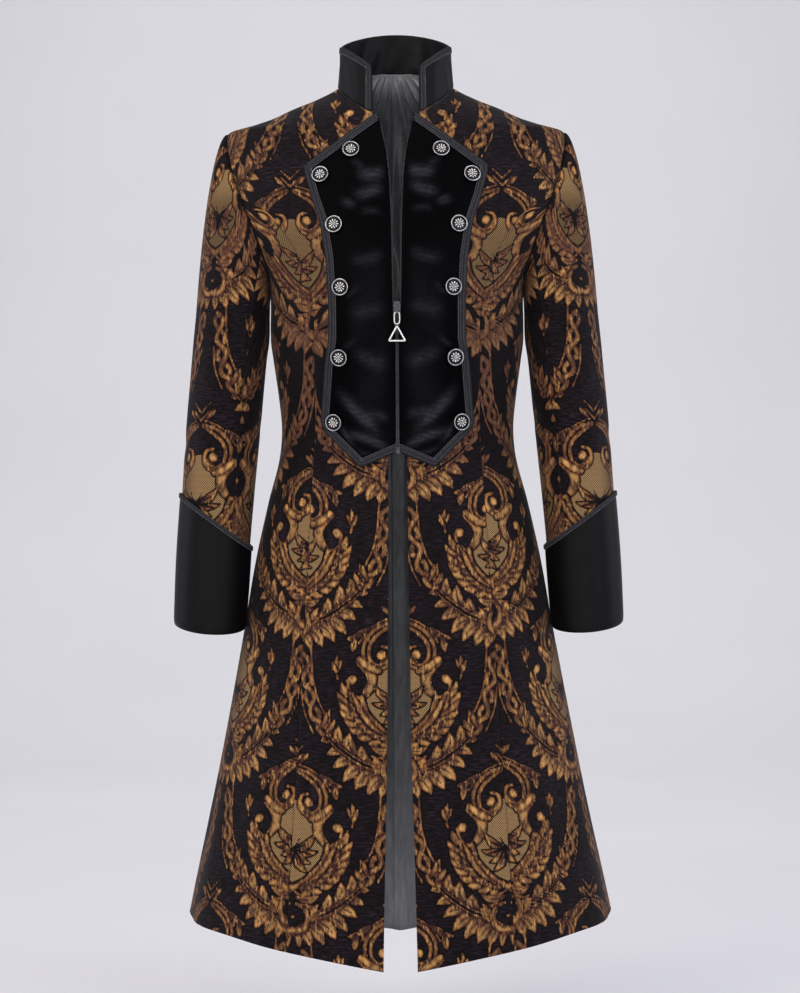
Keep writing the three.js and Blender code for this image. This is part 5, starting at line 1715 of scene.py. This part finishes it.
def buildButton(side, index, x, z):
    label = f"button_{sideName(side)}_{index}"
    foot = onFront(np.array(x), np.array(z), np.array(0.0))
    normal = onFront(np.array(x), np.array(z), np.array(1.0)) - foot
    centre = (foot + normal * button["lift"]) * np.array([side, 1, 1])
    normal = normal * np.array([side, 1, 1])
    up = np.array([0.0, 0.0, 1.0]) - normal * normal[2]
    up /= np.linalg.norm(up)
    turn = np.stack([np.cross(up, normal), up, normal])
    parts = [latheMesh(button["profile"], 40), latheMesh(button["shank"], 12)]
    body = partObject(label + "_body", [(points @ turn + centre, faces) for points, faces in parts])
    finishPiece(body, darkSilver, "coat", "metal", label)
    wireRadius = button["radius"] - button["rimWire"]
    circle = ringAround(button["rimPoints"], wireRadius, 0)[0][:, :2]
    points, faces = tubeAlong(circle, button["rimWire"], 8)
    points = points[:, [0, 2, 1]] + np.array([0, 0, button["rimHeight"]])
    rim = partObject(label + "_rim", [(points @ turn + centre, turnedOut(points, faces))])
    finishPiece(rim, silver, "coat", "metal")
    petal = partObject("petal", [barPart(*button["petal"])])
    bead = partObject("bead", [beadPart(*button["bead"])])
    petals, outwards = ringAround(**button["petals"], turned=0.3 * index)
    inner, innerOut = ringAround(**button["beads"], turned=0.2 * index)
    dots, dotsOut = ringAround(**button["dots"])
    for name, spots, along, part, material, jitter in (
            ("_petals", petals, outwards, petal, brightSilver, 0.14),
            ("_beads", np.concatenate([inner, [[0, 0, button["crown"]]]]),
             np.concatenate([innerOut, [[1, 0, 0]]]), bead, brightSilver, 0.1),
            ("_dots", dots, dotsOut, bead, darkSilver, 0.1)):
        repeatPart(label + name, spots @ turn + centre, np.tile(normal, (len(spots), 1)), along @ turn,
                   part, material, "metal", jitter, index + (20 if side > 0 else 40))
    for part in (petal, bead):
        bpy.data.objects.remove(part)


for side in (1, -1):
    for index, (x, z) in enumerate(button["places"], 1):
        buildButton(side, index, x, z)
print("buttons built")

# A pale floor that rises into a backdrop, and soft studio light
studio = {"floor": -1290, "wide": 18000, "near": -7000, "far": 7000, "curve": 3200, "tall": 6500,
          "tone": "#e8e7eb", "mottle": "#ebeaee", "air": "#f0f0f4", "airStrength": 0.42}
# each light's name, place, aim and size in metres, watts and tint
lights = [
    ("keyLeft", (-2.2, -3.0, 1.3), (0, 0, -0.45), (1.6, 2.2), 60, "#fff7ee"),
    ("keyRight", (2.4, -2.8, 1.0), (0, 0, -0.5), (1.6, 2.2), 48, "#f4f6ff"),
    ("frontFill", (0, -3.9, -0.4), (0, 0, -0.55), (0.35, 1.0), 13, "#ffffff"),
    ("overhead", (0, -0.6, 2.6), (0, 0.1, -0.4), (2.6, 2.0), 34, "#ffffff"),
    ("backdropLight", (0, 3.0, 2.6), (0, 6.6, -0.4), (3.0, 1.0), 60, "#ffffff"),
    ("sideLeft", (-3.2, 0.5, 0.4), (0, 0, -0.4), (1.2, 2.2), 24, "#f2f4ff"),
    ("sideRight", (3.2, 0.5, 0.4), (0, 0, -0.4), (1.2, 2.2), 24, "#f2f4ff"),
]


def buildStudio():
    path = [(studio["near"], studio["floor"]), (studio["far"] - studio["curve"], studio["floor"])]
    for a in np.linspace(0, math.pi / 2, 16)[1:]:
        path.append((studio["far"] - studio["curve"] + studio["curve"] * math.sin(a),
                     studio["floor"] + studio["curve"] * (1 - math.cos(a))))
    path.append((studio["far"], studio["tall"]))
    points = [(x, y, z) for y, z in path for x in (-studio["wide"] / 2, studio["wide"] / 2)]
    faces = [(2 * i, 2 * i + 1, 2 * i + 3, 2 * i + 2) for i in range(len(path) - 1)]
    floor = objectFrom("studioFloor", points, faces)
    material, tree, shader = newMaterial("studio paper", {"Roughness": 0.95, "Specular IOR Level": 0.05})
    place = addNode(tree, "ShaderNodeTexCoord").outputs["Object"]
    mottle = mapRange(tree, noiseOf(tree, place, 1.2), 0.3, 0.7)
    tree.links.new(mixColour(tree, mottle, studio["tone"], studio["mottle"]), shader.inputs["Base Color"])
    paint(floor, material)


def addLight(name, place, aim, size, power, tint):
    data = bpy.data.lights.new(name, "AREA")
    data.shape, data.size, data.size_y = "RECTANGLE", size[0], size[1]
    data.energy, data.color = power, colour(tint)[:3]
    lamp = bpy.data.objects.new(name, data)
    where = np.array(place, float)
    back = where - np.array(aim, float)
    back /= np.linalg.norm(back)
    right = np.cross((0, 0, 1), back)
    right /= np.linalg.norm(right)
    up = np.cross(back, right)
    lamp.matrix_world = Matrix([[right[i], up[i], back[i], where[i]] for i in range(3)] + [[0, 0, 0, 1]])
    bpy.context.scene.collection.objects.link(lamp)


buildStudio()
for row in lights:
    addLight(*row)
world = bpy.data.worlds.new("studioAir")
world.use_nodes = True
air = world.node_tree.nodes["Background"].inputs
air["Color"].default_value = colour(studio["air"])
air["Strength"].default_value = studio["airStrength"]
bpy.context.scene.world = world
bpy.context.scene.view_settings.view_transform = "Standard"
print("studio built")
